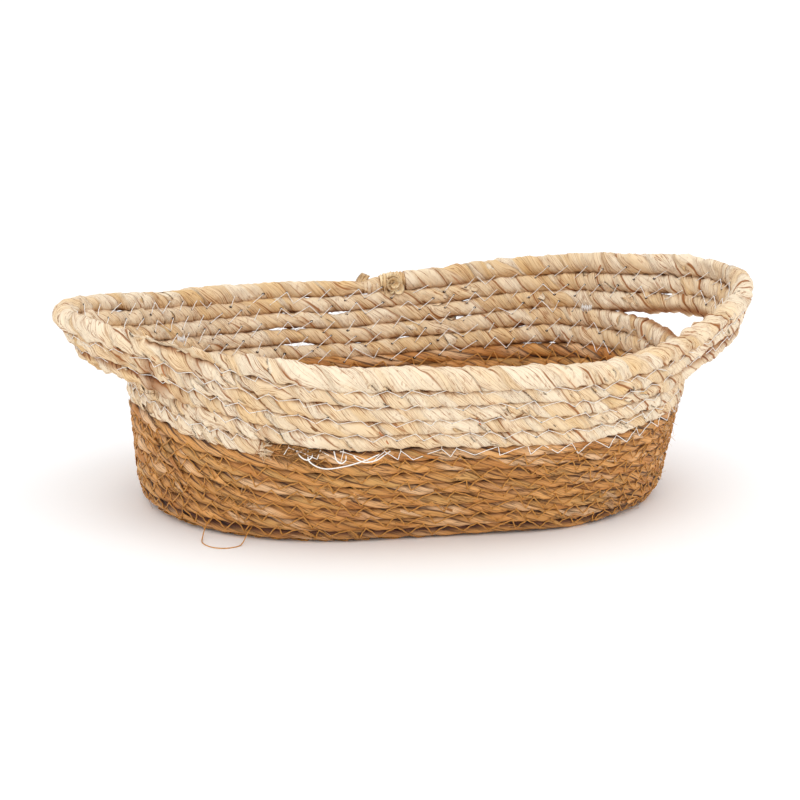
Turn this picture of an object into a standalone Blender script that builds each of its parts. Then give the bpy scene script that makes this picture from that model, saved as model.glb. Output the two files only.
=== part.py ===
"""Oval coiled basket: one winding of rope, sewn row to row, with a handle bow at each end.

The winding starts in the middle of the floor, runs clockwise seen from above and climbs the wall.
Seagrass rope makes the floor and the lower wall, and a thicker rope wrapped in corn husk makes the
five rows above it. At both ends the top three rows bow out past the wall, which leaves a hand hole.
Metres, +Z up, +X to the right end, the basket stands on z = 0.
"""

import math

import bpy
import bmesh
import numpy as np
from mathutils import Vector

# Ropes, each pitch being the distance between the middles of two rows
SEAGRASS_PITCH = 0.0101
HUSK_PITCH = 0.0128
ROW_GAP = 0.0006
RIM_ROPE_DIAMETER = 0.0154
RIM_TAIL_DIAMETER = 0.0045

# Plan of the winding: straight sides between two round ends
CORE_HALF_LENGTH = 0.053
FLOOR_TURNS = 11.5
SEAGRASS_WALL_ROUNDS = 8
WALL_BEND_RADIUS = 0.014
SIDE_FLARE = math.radians(22)
END_FLARE = math.radians(8)

# How far the rim is out of true, growing from nothing at the floor's edge
RIM_END_RISE = 0.0077
RIM_TWIST_RISE = 0.0060
RIM_BACK_RISE = 0.0032
RIM_SHIFT = 0.0070
RIM_NARROWING = 0.0040

# Humps and dips of the rim: middle and half width in steps clockwise from the back's middle
RIM_HUMPS = {
    "back_right": {"middle_step": 2.6, "half_steps": 3.4, "rise": 0.0050},
    "back_middle": {"middle_step": 23.5, "half_steps": 2.6, "rise": -0.0025},
    "front_left": {"middle_step": 15.3, "half_steps": 2.5, "rise": -0.0045},
}

# Rows and steps of the winding
STEPS_PER_TURN = 24
STRAIGHT_STEPS = 1
HUSK_START_STEP = 14.5
HUSK_WALL_ROWS = 2
BAND_ROWS = 3
CLIMB_START_SHARE = 0.85
RIM_TAIL_TURNS = 0.07

# Handle bows: middle and half width as plan angles, then how far the band goes out, up and over
HANDLES = {
    "right": {"middle_angle": math.radians(-6), "half_angle": math.radians(48),
              "out": 0.0355, "lift": 0.009, "lean_angle": math.radians(10)},
    "left": {"middle_angle": math.radians(182), "half_angle": math.radians(49),
             "out": 0.0345, "lift": 0.007, "lean_angle": math.radians(32)},
}
HAND_HOLE_SHARE = 0.9

# Binding of husk strip where the thin and the thick rim rope meet, at the back
BINDING_MIDDLE = 0.026
BINDING_LENGTH = 0.020
BINDING_DIAMETER = 0.0172
BINDING_END_SHARE = 0.86
CURL_TURNS = 2
CURL_STEPS = 12
CURL_STRIP_DIAMETER = 0.0022
CURL_START_RADIUS = 0.0016

# Sewing thread
THREAD_DIAMETER = 0.0008
STITCH_REACH = 0.0030
STITCHES_PER_STEP = 2
SEAGRASS_SEAM_START = 2.18
TACK_STITCHES = 6
TACK_PITCH = 0.0018
TACK_SET_BACK_STEPS = 0.35
CLEARANCE = 0.0003

# Loose loop of the seagrass thread at the front left, its ends in steps past the front's middle
SLACK_LOOP_ROWS_UP = 2
SLACK_LOOP_STEPS = (2.8, 3.6)
SLACK_LOOP_REACH = 0.028
SLACK_LOOP_POINTS = 32
SLACK_LOOP_SQUARENESS = 0.7
SLACK_LOOP_LEAN_SHARE = 0.15
SLACK_LOOP_DROP_REACH = 0.016

# The flat on the underside, its cutter's width in floor lengths, and one overrun for it
GROUND_CUT_SHARE = 0.1
CUTTER_WIDTH_SHARE = 2.0
OVERRUN = 0.010

# Faces that meet at less than this are shaded smooth, and points nearer than this share are one
SHARP_ANGLE = math.radians(50)
MERGE_SHARE = 0.1
MILLIMETRE = 0.001

COLLECTION = "oval_basket"
CUTTERS = "oval_basket_cutters"

SEAGRASS_DIAMETER = SEAGRASS_PITCH - ROW_GAP
FLOOR_HEIGHT = SEAGRASS_DIAMETER / 2 - GROUND_CUT_SHARE * SEAGRASS_DIAMETER
FLOOR_START_RADIUS = SEAGRASS_PITCH / 4
FLOOR_RADIUS = FLOOR_START_RADIUS + SEAGRASS_PITCH * FLOOR_TURNS
HUSK_START = FLOOR_TURNS + SEAGRASS_WALL_ROUNDS + HUSK_START_STEP / STEPS_PER_TURN - FLOOR_TURNS % 1
BAND_START = HUSK_START + HUSK_WALL_ROWS
WINDING_END = BAND_START + BAND_ROWS + RIM_TAIL_TURNS
WALL_ARC = SEAGRASS_PITCH * (HUSK_START - FLOOR_TURNS) + HUSK_PITCH * (HUSK_WALL_ROWS + BAND_ROWS)


def ease(share):
    """Smooth step from 0 to 1."""
    share = min(max(share, 0.0), 1.0)
    return share * share * (3 - 2 * share)


def plan_place(turn):
    """Plan angle of the row's outward side, and the place along the core from -1 to 1."""
    half_turns = math.floor(2 * turn)
    steps = (2 * turn - half_turns) * STEPS_PER_TURN / 2
    arc_steps = STEPS_PER_TURN / 2 - 2 * STRAIGHT_STEPS
    side = 1 if half_turns % 2 == 0 else -1
    if steps < STRAIGHT_STEPS:
        angle, along = math.pi / 2, steps / STRAIGHT_STEPS
    elif steps > STRAIGHT_STEPS + arc_steps:
        angle, along = -math.pi / 2, (STEPS_PER_TURN / 2 - steps) / STRAIGHT_STEPS
    else:
        angle, along = math.pi / 2 - math.pi * (steps - STRAIGHT_STEPS) / arc_steps, 1.0
    if side < 0:
        angle += math.pi
    return angle, along * side


def grown_turns(turn):
    """Turns as the rows gain on the core: none on the straights, eased round the ends."""
    angle, _ = plan_place(turn)
    half_turns = math.floor(2 * turn)
    away = -1 if half_turns % 2 == 0 else 1
    return (half_turns + (1 + away * math.sin(angle)) / 2) / 2


def wall_arc(turn):
    """Length up the wall's section from the floor's edge to the row at this turn."""
    wound = grown_turns(turn)
    husk_turns = turn - HUSK_START
    start_arc = SEAGRASS_PITCH * (wound - FLOOR_TURNS)
    if husk_turns < 0:
        return start_arc
    rows = math.floor(husk_turns)
    round_share = husk_turns - rows
    climb = ease((round_share - CLIMB_START_SHARE) / (1 - CLIMB_START_SHARE))
    lower = start_arc - SEAGRASS_PITCH * (rows + 1) + (SEAGRASS_PITCH + HUSK_PITCH) / 2
    return lower + HUSK_PITCH * rows + (HUSK_PITCH - SEAGRASS_PITCH) * climb


def bow(angle, handle):
    """Weight of a handle's bow at a plan angle, 1 in its middle and 0 beside it."""
    off = math.remainder(angle - handle["middle_angle"], 2 * math.pi) / handle["half_angle"]
    if abs(off) >= 1:
        return 0.0
    return math.cos(off * math.pi / 2) ** 2


def handle_sum(angle, size):
    """One size of the handle bows, such as its lift, at a plan angle."""
    return sum(bow(angle, handle) * handle[size] for handle in HANDLES.values())


def hump_sum(turn):
    """Rise of the rim over its even sweep, from the humps and dips near this turn."""
    total = 0.0
    for hump in RIM_HUMPS.values():
        off = math.remainder(turn * STEPS_PER_TURN - hump["middle_step"], STEPS_PER_TURN) / hump["half_steps"]
        if abs(off) < 1:
            total += math.cos(off * math.pi / 2) ** 2 * hump["rise"]
    return total


def section_place(arc, angle):
    """Offset from the core and height for a length up the wall's section."""
    flare = END_FLARE + (SIDE_FLARE - END_FLARE) * math.sin(angle) ** 2
    full_bend = math.pi / 2 - flare
    bent = min(max(arc / WALL_BEND_RADIUS, 0.0), full_bend)
    rest = max(arc - WALL_BEND_RADIUS * full_bend, 0.0)
    offset = FLOOR_RADIUS + min(arc, 0.0) + WALL_BEND_RADIUS * math.sin(bent) + rest * math.sin(flare)
    height = FLOOR_HEIGHT + WALL_BEND_RADIUS * (1 - math.cos(bent)) + rest * math.cos(flare)
    return offset, height, flare


def floor_point(turn):
    """Middle of the rope on the floor: half circles about two middles, joined by straights."""
    angle, along = plan_place(turn)
    half_turns = math.floor(2 * turn)
    side = 1 if half_turns % 2 == 0 else -1
    radius = SEAGRASS_PITCH * (half_turns + 1) / 2
    x = CORE_HALF_LENGTH * along + radius * math.cos(angle)
    y = radius * math.sin(angle) - side * SEAGRASS_PITCH / 4
    return Vector((x, y, FLOOR_HEIGHT))


def wall_point(turn):
    """Middle of the rope on the wall, with the handle bows in the top rows."""
    angle, along = plan_place(turn)
    band_row = max(math.floor(turn - BAND_START), -1)
    level = max(band_row, 0)
    arc = wall_arc(turn - level)
    offset, height, flare = section_place(arc, angle)
    if band_row >= 0:
        lean = flare + handle_sum(angle, "lean_angle")
        offset += handle_sum(angle, "out") + level * HUSK_PITCH * math.sin(lean)
        height += handle_sum(angle, "lift") + level * HUSK_PITCH * math.cos(lean)
    share = (arc + level * HUSK_PITCH) / WALL_ARC
    height += share * RIM_END_RISE * math.cos(2 * angle)
    height += share * RIM_TWIST_RISE * math.sin(2 * angle)
    height += share * RIM_BACK_RISE * math.sin(angle)
    height += share * hump_sum(turn)
    x = CORE_HALF_LENGTH * along + offset * math.cos(angle) + share * RIM_SHIFT
    y = (offset - share * RIM_NARROWING) * math.sin(angle)
    return Vector((x, y, height))


def step_point(step):
    """Middle of the rope at a whole step of the winding."""
    turn = step / STEPS_PER_TURN
    return floor_point(turn) if turn < FLOOR_TURNS else wall_point(turn)


def between_steps(turn, at_step):
    """Value at any turn, on the straight run between two whole steps."""
    place = turn * STEPS_PER_TURN
    step = math.floor(place)
    share = place - step
    low = at_step(step)
    if not share:
        return low
    return low * (1 - share) + at_step(step + 1) * share


def row_point(turn):
    return between_steps(turn, step_point)


def row_pitch(step):
    return SEAGRASS_PITCH if step / STEPS_PER_TURN < HUSK_START else HUSK_PITCH


def step_radius(step):
    """Rope radius at a step: the rows are drawn together or apart, and the rope gives with them."""
    stretch = []
    for other in (step - STEPS_PER_TURN, step + STEPS_PER_TURN):
        if -STRAIGHT_STEPS <= other <= (BAND_START + BAND_ROWS) * STEPS_PER_TURN:
            plain = (row_pitch(step) + row_pitch(other)) / 2
            stretch.append((step_point(step) - step_point(other)).length / plain)
    return (min(stretch) * row_pitch(step) - ROW_GAP) / 2


def row_radius(turn):
    return between_steps(turn, step_radius)


def top_point(turn, radius):
    """Middle of something of this radius that lies on top of the row one turn below."""
    below = row_point(turn - 1)
    up = (row_point(turn) - below).normalized()
    return below + up * (row_radius(turn - 1) + radius + ROW_GAP)


def turns_between(start, end):
    """Start, every whole step on the way, and end."""
    first = math.floor(start * STEPS_PER_TURN) + 1
    last = math.ceil(end * STEPS_PER_TURN) - 1
    return [start] + [step / STEPS_PER_TURN for step in range(first, last + 1)] + [end]


def turn_at_x(turn, x):
    """Turn on the back straight near a whole turn where the rope passes x."""
    shift = row_point(turn).x
    return turn + STRAIGHT_STEPS * (x - shift) / (CORE_HALF_LENGTH * STEPS_PER_TURN)


def clearance_in_turns(turn):
    """Half of the gap between two pieces of rope in a row, as a part of a turn."""
    run = (row_point(turn + 1 / STEPS_PER_TURN) - row_point(turn)).length
    return CLEARANCE / (run * STEPS_PER_TURN)


def rim_radius(turn):
    """The thick rim rope keeps its size, and tapers to its end over the husk rope's start."""
    left = (WINDING_END - turn) / RIM_TAIL_TURNS
    tail = RIM_TAIL_DIAMETER / RIM_ROPE_DIAMETER
    return RIM_ROPE_DIAMETER / 2 * (tail + (1 - tail) * ease(left))


def material(name, colour, roughness):
    made = bpy.data.materials.new(name)
    made.use_nodes = True
    shader = made.node_tree.nodes["Principled BSDF"]
    shader.inputs["Base Color"].default_value = (*colour, 1.0)
    shader.inputs["Roughness"].default_value = roughness
    shader.inputs["Metallic"].default_value = 0.0
    return made


def tube(name, points, radii, skin, resolution=1, twist="Z_UP"):
    """One unbroken tube through the points, with a radius at each."""
    data = bpy.data.curves.new(name, "CURVE")
    data.dimensions = "3D"
    data.twist_mode = twist
    data.use_fill_caps = True
    data.bevel_depth = max(radii)
    data.bevel_resolution = resolution
    spline = data.splines.new("POLY")
    spline.points.add(len(points) - 1)
    for spot, point, radius in zip(spline.points, points, radii):
        spot.co = (*point, 1.0)
        spot.radius = radius / data.bevel_depth
    data.materials.append(skin)
    made = bpy.data.objects.new(name, data)
    bpy.data.collections[COLLECTION].objects.link(made)
    return made


def as_mesh(curve):
    """The curve as a closed mesh, its caps welded on."""
    graph = bpy.context.evaluated_depsgraph_get()
    data = bpy.data.meshes.new_from_object(curve.evaluated_get(graph))
    net = bmesh.new()
    net.from_mesh(data)
    bmesh.ops.remove_doubles(net, verts=net.verts, dist=CLEARANCE * MERGE_SHARE)
    net.to_mesh(data)
    net.free()
    name = curve.name
    made = bpy.data.objects.new(name + "_solid", data)
    made.matrix_world = curve.matrix_world
    bpy.data.collections[COLLECTION].objects.link(made)
    bpy.data.objects.remove(curve, do_unlink=True)
    made.name = name
    data.shade_smooth()
    data.set_sharp_from_angle(angle=SHARP_ANGLE)
    return made


def ground_cutter():
    """Block below z = 0 that gives the ropes their flat."""
    width = 2 * (CORE_HALF_LENGTH + FLOOR_RADIUS) * CUTTER_WIDTH_SHARE
    net = bmesh.new()
    bmesh.ops.create_cube(net, size=1.0)
    bmesh.ops.scale(net, vec=(width, width, OVERRUN), verts=net.verts)
    bmesh.ops.translate(net, vec=(0, 0, -OVERRUN / 2), verts=net.verts)
    data = bpy.data.meshes.new("ground_cutter")
    net.to_mesh(data)
    net.free()
    made = bpy.data.objects.new("ground_cutter", data)
    made.hide_render = True
    made.display_type = "WIRE"
    bpy.data.collections[CUTTERS].objects.link(made)
    return made


def cut_flat(target, cutter):
    cut = target.modifiers.new("flat_underside", "BOOLEAN")
    cut.operation = "DIFFERENCE"
    cut.solver = "EXACT"
    cut.object = cutter


def winding(name, start, end, skin):
    """Rope between two turns of the winding, with half a clearance left at each end."""
    start += clearance_in_turns(start)
    end -= clearance_in_turns(end)
    turns = turns_between(start, end)
    return tube(name, [row_point(turn) for turn in turns], [row_radius(turn) for turn in turns], skin)


def seagrass_ropes(skin, cutter):
    floor = as_mesh(winding("floor_coil", -STRAIGHT_STEPS / STEPS_PER_TURN, FLOOR_TURNS, skin))
    wall = as_mesh(winding("seagrass_wall_coil", FLOOR_TURNS, HUSK_START, skin))
    cut_flat(floor, cutter)
    cut_flat(wall, cutter)


def binding_turns():
    """Where the binding starts and ends on the rim's back straight."""
    near = math.floor(BAND_START + BAND_ROWS)
    start = turn_at_x(near, BINDING_MIDDLE - BINDING_LENGTH / 2)
    end = turn_at_x(near, BINDING_MIDDLE + BINDING_LENGTH / 2)
    return start, end


def husk_ropes(skin):
    binding_start, binding_end = binding_turns()
    winding("husk_wall_coil", HUSK_START, BAND_START, skin)
    winding("handle_band_coil", BAND_START, binding_start, skin)
    start = binding_end + clearance_in_turns(binding_end)
    turns = turns_between(start, WINDING_END)
    points = [top_point(turn, rim_radius(turn)) for turn in turns]
    tube("rim_rope", points, [rim_radius(turn) for turn in turns], skin)


def rim_binding(skin):
    """Husk strip wound round the two rope ends, thickest in its middle."""
    start, end = binding_turns()
    middle = (start + end) / 2
    start += clearance_in_turns(middle)
    end -= clearance_in_turns(middle)
    full = BINDING_DIAMETER / 2
    radii = [full * BINDING_END_SHARE, full, full, full * BINDING_END_SHARE]
    turns = [start + (end - start) * place / (len(radii) - 1) for place in range(len(radii))]
    tube("rim_binding", [top_point(turn, full) for turn in turns], radii, skin, resolution=2)


def curl_points():
    """Middle of the rolled-up strip, a flat spiral beside the binding's inner face."""
    start, end = binding_turns()
    seat = top_point((start + end) / 2, BINDING_DIAMETER / 2)
    depth = BINDING_DIAMETER / 2 + CLEARANCE + CURL_STRIP_DIAMETER / 2
    pitch = CURL_STRIP_DIAMETER + ROW_GAP
    points = []
    for step in range(CURL_TURNS * CURL_STEPS + 1):
        wound = step / CURL_STEPS
        radius = CURL_START_RADIUS + pitch * wound
        angle = 2 * math.pi * wound
        points.append(seat + Vector((radius * math.cos(angle), -depth, radius * math.sin(angle))))
    return points


def binding_curl(skin):
    """The strip's end, rolled up on the inner face of the binding."""
    points = curl_points()
    radii = [CURL_STRIP_DIAMETER / 2] * len(points)
    tube("rim_binding_curl", points, radii, skin, twist="MINIMUM")


def groove_place(turn, outward):
    """Middle of the groove between the row at this turn and the row below it, and its directions."""
    low = row_point(turn - 1)
    high = row_point(turn)
    ahead = row_point(turn + 1 / STEPS_PER_TURN) - row_point(turn - 1 / STEPS_PER_TURN)
    across = (high - low).normalized()
    out = across.cross(ahead).normalized() * outward
    groove = low + across * (row_radius(turn - 1) + ROW_GAP / 2)
    return groove, across, out


def stitch_point(turn, upward, outward):
    """A needle hole beside the groove, the thread lying over the rope there."""
    groove, across, out = groove_place(turn, outward)
    radius = max(row_radius(turn), row_radius(turn - 1))
    reach = math.sqrt(radius ** 2 - (radius - STITCH_REACH) ** 2)
    lift = reach + THREAD_DIAMETER / 2 + CLEARANCE
    return groove + across * STITCH_REACH * upward + out * lift


def groove_seat(turn, outward):
    """Deepest place for the thread in the groove, a clearance from both rows."""
    groove, _, out = groove_place(turn, outward)
    radius = max(row_radius(turn), row_radius(turn - 1))
    apart = radius + THREAD_DIAMETER / 2 + CLEARANCE
    return groove + out * math.sqrt(apart ** 2 - (radius + ROW_GAP / 2) ** 2)


def seam(name, start, end, skin):
    """Zigzag thread over the groove, from hole to hole on the outer face."""
    holes_per_turn = 2 * STITCHES_PER_STEP * STEPS_PER_TURN
    first = math.ceil(start * holes_per_turn)
    last = math.ceil(end * holes_per_turn) - 2
    points = []
    for hole in range(first, last + 1):
        upward = 1 if hole % 2 else -1
        points.append(stitch_point(hole / holes_per_turn, upward, 1))
    return tube(name, points, [THREAD_DIAMETER / 2] * len(points), skin, resolution=0)


def step_at_angle(angle):
    """Step of a turn, from the middle of the back, where the row's side faces a plan angle."""
    arc_steps = STEPS_PER_TURN / 2 - 2 * STRAIGHT_STEPS
    back = (math.pi / 2 - angle) % (2 * math.pi)
    halves, rest = divmod(back, math.pi)
    return halves * STEPS_PER_TURN / 2 + STRAIGHT_STEPS + arc_steps * rest / math.pi


def hand_hole_turns(side):
    """Turns at which the seam under the handle band stops and goes on, in the order wound."""
    handle = HANDLES[side]
    half = handle["half_angle"] * HAND_HOLE_SHARE
    first = step_at_angle(handle["middle_angle"] + half) / STEPS_PER_TURN
    last = step_at_angle(handle["middle_angle"] - half) / STEPS_PER_TURN
    whole = math.floor(BAND_START)
    while whole + first < BAND_START:
        whole += 1
    stop = whole + first
    go_on = whole + last
    return stop, go_on + 1 if go_on < stop else go_on


def husk_seams(skin):
    left_stop, left_go_on = hand_hole_turns("left")
    right_stop, right_go_on = hand_hole_turns("right")
    binding_start, _ = binding_turns()
    seam("husk_seam_thread_lower", HUSK_START, left_stop, skin)
    seam("husk_seam_thread_back", left_go_on, right_stop, skin)
    seam("husk_seam_thread_upper", right_go_on, binding_start, skin)


def tack(name, turn, skin):
    """Close stitches on the inner face that keep a hand hole from tearing on."""
    run = (row_point(turn + 1 / STEPS_PER_TURN) - row_point(turn)).length * STEPS_PER_TURN
    points = []
    for hole in range(2 * TACK_STITCHES + 1):
        place = turn + (hole - TACK_STITCHES) * TACK_PITCH / (2 * run)
        upward = 1 if hole % 2 else -1
        points.append(stitch_point(place, upward, -1))
    tube(name, points, [THREAD_DIAMETER / 2] * len(points), skin, resolution=0)


def handle_tacks(skin):
    set_back = TACK_SET_BACK_STEPS / STEPS_PER_TURN
    for side in HANDLES:
        stop, go_on = hand_hole_turns(side)
        ends = ("front", "back") if side == "left" else ("back", "front")
        tack("handle_tack_" + side + "_" + ends[0], stop - set_back, skin)
        tack("handle_tack_" + side + "_" + ends[1], go_on + set_back, skin)


def slack_loop(skin):
    """Loose thread that leaves the lowest seam, turns on the ground and goes back to it."""
    radius = THREAD_DIAMETER / 2
    lowest = FLOOR_TURNS + SLACK_LOOP_ROWS_UP
    turns = [lowest + steps / STEPS_PER_TURN for steps in SLACK_LOOP_STEPS]
    ends = [stitch_point(turn, 0, 1) for turn in turns]
    chord = ends[1] - ends[0]
    out = Vector((0, 0, 1)).cross(chord).normalized()
    points = []
    for spot in range(SLACK_LOOP_POINTS + 1):
        share = spot / SLACK_LOOP_POINTS
        swing = math.pi * share
        along = (1 - math.cos(swing)) / 2
        reach = SLACK_LOOP_REACH * math.sin(swing) ** SLACK_LOOP_SQUARENESS
        point = ends[0] + chord * (along - SLACK_LOOP_LEAN_SHARE * math.sin(swing)) + out * reach
        held = ease(1 - reach / SLACK_LOOP_DROP_REACH)
        point.z = radius + (point.z - radius) * held
        points.append(point)
    points = [groove_seat(turns[0], 1)] + points + [groove_seat(turns[1], 1)]
    return tube("loose_thread_loop", points, [radius] * len(points), skin, resolution=2)


def least_gap(middles, radii, apart):
    """Least gap of a rope to itself, on its points and between those this many points apart or more."""
    middles = np.array(middles)
    radii = np.array(radii)
    least = []
    for index in range(len(middles) - apart):
        away = np.linalg.norm(middles[index + apart:] - middles[index], axis=1)
        least.append(np.min(away - radii[index + apart:] - radii[index]))
    return min(least) / MILLIMETRE


def print_least_gaps():
    steps = 2 * int((BAND_START + BAND_ROWS) * STEPS_PER_TURN)
    turns = [half / (2 * STEPS_PER_TURN) for half in range(1, steps)]
    winding_gap = least_gap([row_point(turn) for turn in turns], [row_radius(turn) for turn in turns],
                            STEPS_PER_TURN)
    print("Least gap of the winding to itself: %.2f mm" % winding_gap)
    curl = curl_points()
    curl_gap = least_gap(curl, [CURL_STRIP_DIAMETER / 2] * len(curl), CURL_STEPS - 1)
    print("Least gap of the binding's curl to itself: %.2f mm" % curl_gap)


def surface_points(piece):
    """The piece's points in world space, after its modifiers."""
    seen = piece.evaluated_get(bpy.context.evaluated_depsgraph_get())
    data = seen.to_mesh()
    points = [seen.matrix_world @ spot.co for spot in data.vertices]
    seen.to_mesh_clear()
    return points


def centre_on_origin(loose):
    """Hang everything on one empty, moved so that the basket's box is centred on the origin."""
    pieces = list(bpy.data.collections[COLLECTION].objects)
    points = np.array([point for piece in pieces if piece is not loose for point in surface_points(piece)])
    low = points.min(axis=0)
    high = points.max(axis=0)
    middle = (low + high) / 2
    frame = bpy.data.objects.new("basket_frame", None)
    bpy.data.collections[COLLECTION].objects.link(frame)
    frame.location = (-middle[0], -middle[1], 0)
    for piece in pieces + list(bpy.data.collections[CUTTERS].objects):
        piece.parent = frame
    print("Lowest point in m:", low, "size:", high - low, "moved by:", frame.location)


def build():
    for made in list(bpy.data.objects):
        bpy.data.objects.remove(made, do_unlink=True)
    for name in (COLLECTION, CUTTERS):
        bpy.context.scene.collection.children.link(bpy.data.collections.new(name))
    seagrass = material("seagrass", (0.46, 0.27, 0.11), 0.75)
    husk = material("corn_husk", (0.80, 0.68, 0.47), 0.7)
    strip = material("golden_husk_strip", (0.72, 0.50, 0.22), 0.6)
    white = material("white_thread", (0.88, 0.85, 0.80), 0.6)
    brown = material("brown_thread", (0.45, 0.26, 0.10), 0.6)
    cutter = ground_cutter()
    seagrass_ropes(seagrass, cutter)
    husk_ropes(husk)
    rim_binding(strip)
    binding_curl(strip)
    seam("seagrass_seam_thread", FLOOR_TURNS + SEAGRASS_SEAM_START, HUSK_START, brown)
    husk_seams(white)
    handle_tacks(white)
    loose = slack_loop(brown)
    print_least_gaps()
    bpy.context.view_layer.update()
    centre_on_origin(loose)


build()
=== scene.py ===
"""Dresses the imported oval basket: twisted seagrass rope, husk wrapped rope, its seams and loose ends.

Every rope is one surface over two parameters, the length along the winding and the place round the
rope. The winding repeats the source's formulas, so each rope lies where its CAD node is.
"""

import math

import bpy
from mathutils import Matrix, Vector
import numpy as np


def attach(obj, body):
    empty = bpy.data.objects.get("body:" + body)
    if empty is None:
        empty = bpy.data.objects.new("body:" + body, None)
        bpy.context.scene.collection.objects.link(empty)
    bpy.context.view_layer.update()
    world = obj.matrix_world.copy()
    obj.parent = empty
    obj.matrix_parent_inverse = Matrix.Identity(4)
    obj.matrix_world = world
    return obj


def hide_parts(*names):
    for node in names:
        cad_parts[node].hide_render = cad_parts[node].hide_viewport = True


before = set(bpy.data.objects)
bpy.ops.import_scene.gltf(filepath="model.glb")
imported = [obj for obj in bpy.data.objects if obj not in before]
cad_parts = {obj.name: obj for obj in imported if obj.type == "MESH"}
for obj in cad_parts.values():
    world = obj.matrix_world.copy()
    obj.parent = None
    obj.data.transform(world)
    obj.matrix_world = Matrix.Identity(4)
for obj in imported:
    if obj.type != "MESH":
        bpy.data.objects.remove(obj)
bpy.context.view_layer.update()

bl_info = {
    "name": "Oval coiled basket",
    "version": (1, 0, 0),
    "blender": (4, 5, 0),
    "location": "3D View > Sidebar > Basket",
    "description": "Ropes, seams, binding and loose ends of an oval coiled basket",
    "category": "Object",
}

# The winding, as in the source
SEAGRASS_PITCH = 0.0101
HUSK_PITCH = 0.0128
ROW_GAP = 0.0006
RIM_ROPE_DIAMETER = 0.0154
RIM_TAIL_DIAMETER = 0.0045
CORE_HALF_LENGTH = 0.053
FLOOR_TURNS = 11.5
SEAGRASS_WALL_ROUNDS = 8
WALL_BEND_RADIUS = 0.014
SIDE_FLARE = math.radians(22)
END_FLARE = math.radians(8)
RIM_END_RISE = 0.0077
RIM_TWIST_RISE = 0.0060
RIM_BACK_RISE = 0.0032
RIM_SHIFT = 0.0070
RIM_NARROWING = 0.0040
STEPS_PER_TURN = 24
STRAIGHT_STEPS = 1
HUSK_START_STEP = 14.5
HUSK_WALL_ROWS = 2
BAND_ROWS = 3
CLIMB_START_SHARE = 0.85
RIM_TAIL_TURNS = 0.07
HANDLES = {
    "right": {"middle": math.radians(-6), "half": math.radians(48),
              "out": 0.0355, "lift": 0.009, "lean": math.radians(10)},
    "left": {"middle": math.radians(182), "half": math.radians(49),
             "out": 0.0345, "lift": 0.007, "lean": math.radians(32)},
}
RIM_HUMPS = {
    "back_right": {"middle_step": 2.6, "half_steps": 3.4, "rise": 0.0050},
    "back_middle": {"middle_step": 23.5, "half_steps": 2.6, "rise": -0.0025},
    "front_left": {"middle_step": 15.3, "half_steps": 2.5, "rise": -0.0045},
}
HAND_HOLE_SHARE = 0.9
BINDING_MIDDLE = 0.026
BINDING_LENGTH = 0.020
BINDING_DIAMETER = 0.0172
WINDING_SHIFT = np.array([-0.003485, 0.000597, 0.0])

SEAGRASS_DIAMETER = SEAGRASS_PITCH - ROW_GAP
FLOOR_HEIGHT = SEAGRASS_DIAMETER / 2 - SEAGRASS_DIAMETER / 10
FLOOR_RADIUS = SEAGRASS_PITCH / 4 + SEAGRASS_PITCH * FLOOR_TURNS
HUSK_START = FLOOR_TURNS + SEAGRASS_WALL_ROUNDS + HUSK_START_STEP / STEPS_PER_TURN - FLOOR_TURNS % 1
BAND_START = HUSK_START + HUSK_WALL_ROWS
RIM_START = math.floor(BAND_START + BAND_ROWS)
WINDING_END = BAND_START + BAND_ROWS + RIM_TAIL_TURNS
WALL_ARC = SEAGRASS_PITCH * (HUSK_START - FLOOR_TURNS) + HUSK_PITCH * (HUSK_WALL_ROWS + BAND_ROWS)
FULL_TURN = 2 * math.pi
UP = np.array([0.0, 0.0, 1.0])
# Rough length of one round near the top
RUN_PER_TURN = 1.15
# Rise of a line from which its frame no longer goes by the upward way
STEEP = 0.97
# Way that no thread runs along, for the frames of threads
SLANTED = np.array([0.31, 0.23, 0.92])
# Nearly upward way, which a needle hole on top of a rope doesn't face
NEARLY_UP = UP + 0.01
# Parts of a turn that are short enough to give a line's way, and its run for each turn
LITTLE_TURN = 1.0 / (STEPS_PER_TURN * 8)
NEAR_TURN = 0.001

# Knots of the wander, waves of the swell, and samples for the lengths of lines
KNOTS = 4096
PLANE_WAVES = 9
LENGTH_SAMPLES = 4000
SAMPLES_PER_TURN = 600

# Meshes of the ropes: seed, length between rings, columns across a strip, depth of the stitches' dents
FLOOR_NET = {"seed": 300, "spacing": 0.0027, "columns": 6, "dents": 0.0}
WALL_NET = {"seed": 300, "spacing": 0.0018, "columns": 8, "dents": 0.0007}
HUSK_NET = {"seed": 700, "spacing": 0.0013, "columns": 11, "dents": 0.0008}
RIM_NET = {"seed": 1300, "spacing": 0.0013, "columns": 11, "dents": 0.0005}
# Seeds of a rope's unevenness, counted on from its own
SEEDS = {"swing_up": 0, "swing_out": 1, "lump": 3, "crumple": 5, "twist": 8, "edge": 10, "puff": 30,
         "lap": 50, "fold_shift": 70, "fold_size": 90, "tone": 110, "hue": 130, "own_tone": 150}
# Columns of points close to a strip's edge, as shares of its width
LAP_COLUMNS = np.array([0.025, 0.06, 0.11])
# A strip's bulge, lap and folds: how much they change along the rope, and the powers of their curves
PUFF = {"change": 0.55, "power": 0.8, "sunk": 0.55}
LAP = {"middle": 0.5, "change": 0.9, "least": 0.12, "most": 1.4, "power": 1.5}
FOLD = {"size_wave": 1.3, "waves": 1.6, "strip_shift": 0.37, "wander": 0.35, "power": 0.5}
# The strips' tone: shares of its wander and of a strip's own, depth at which the painted shade of the back
# wall is full, painted shade of a strip's far edge
TONE = {"wandering": 0.5, "own": 0.5, "middle": 0.5, "hue_wave": 1.4, "back_depth": 0.15, "far_edge": 0.35}
# Where rows press on each other: powers of a sine for the shape and for the painted shade, and the painted
# shade on the free side
PRESS = {"power": 6, "shade_power": 4, "free_shade": 0.2}
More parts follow.
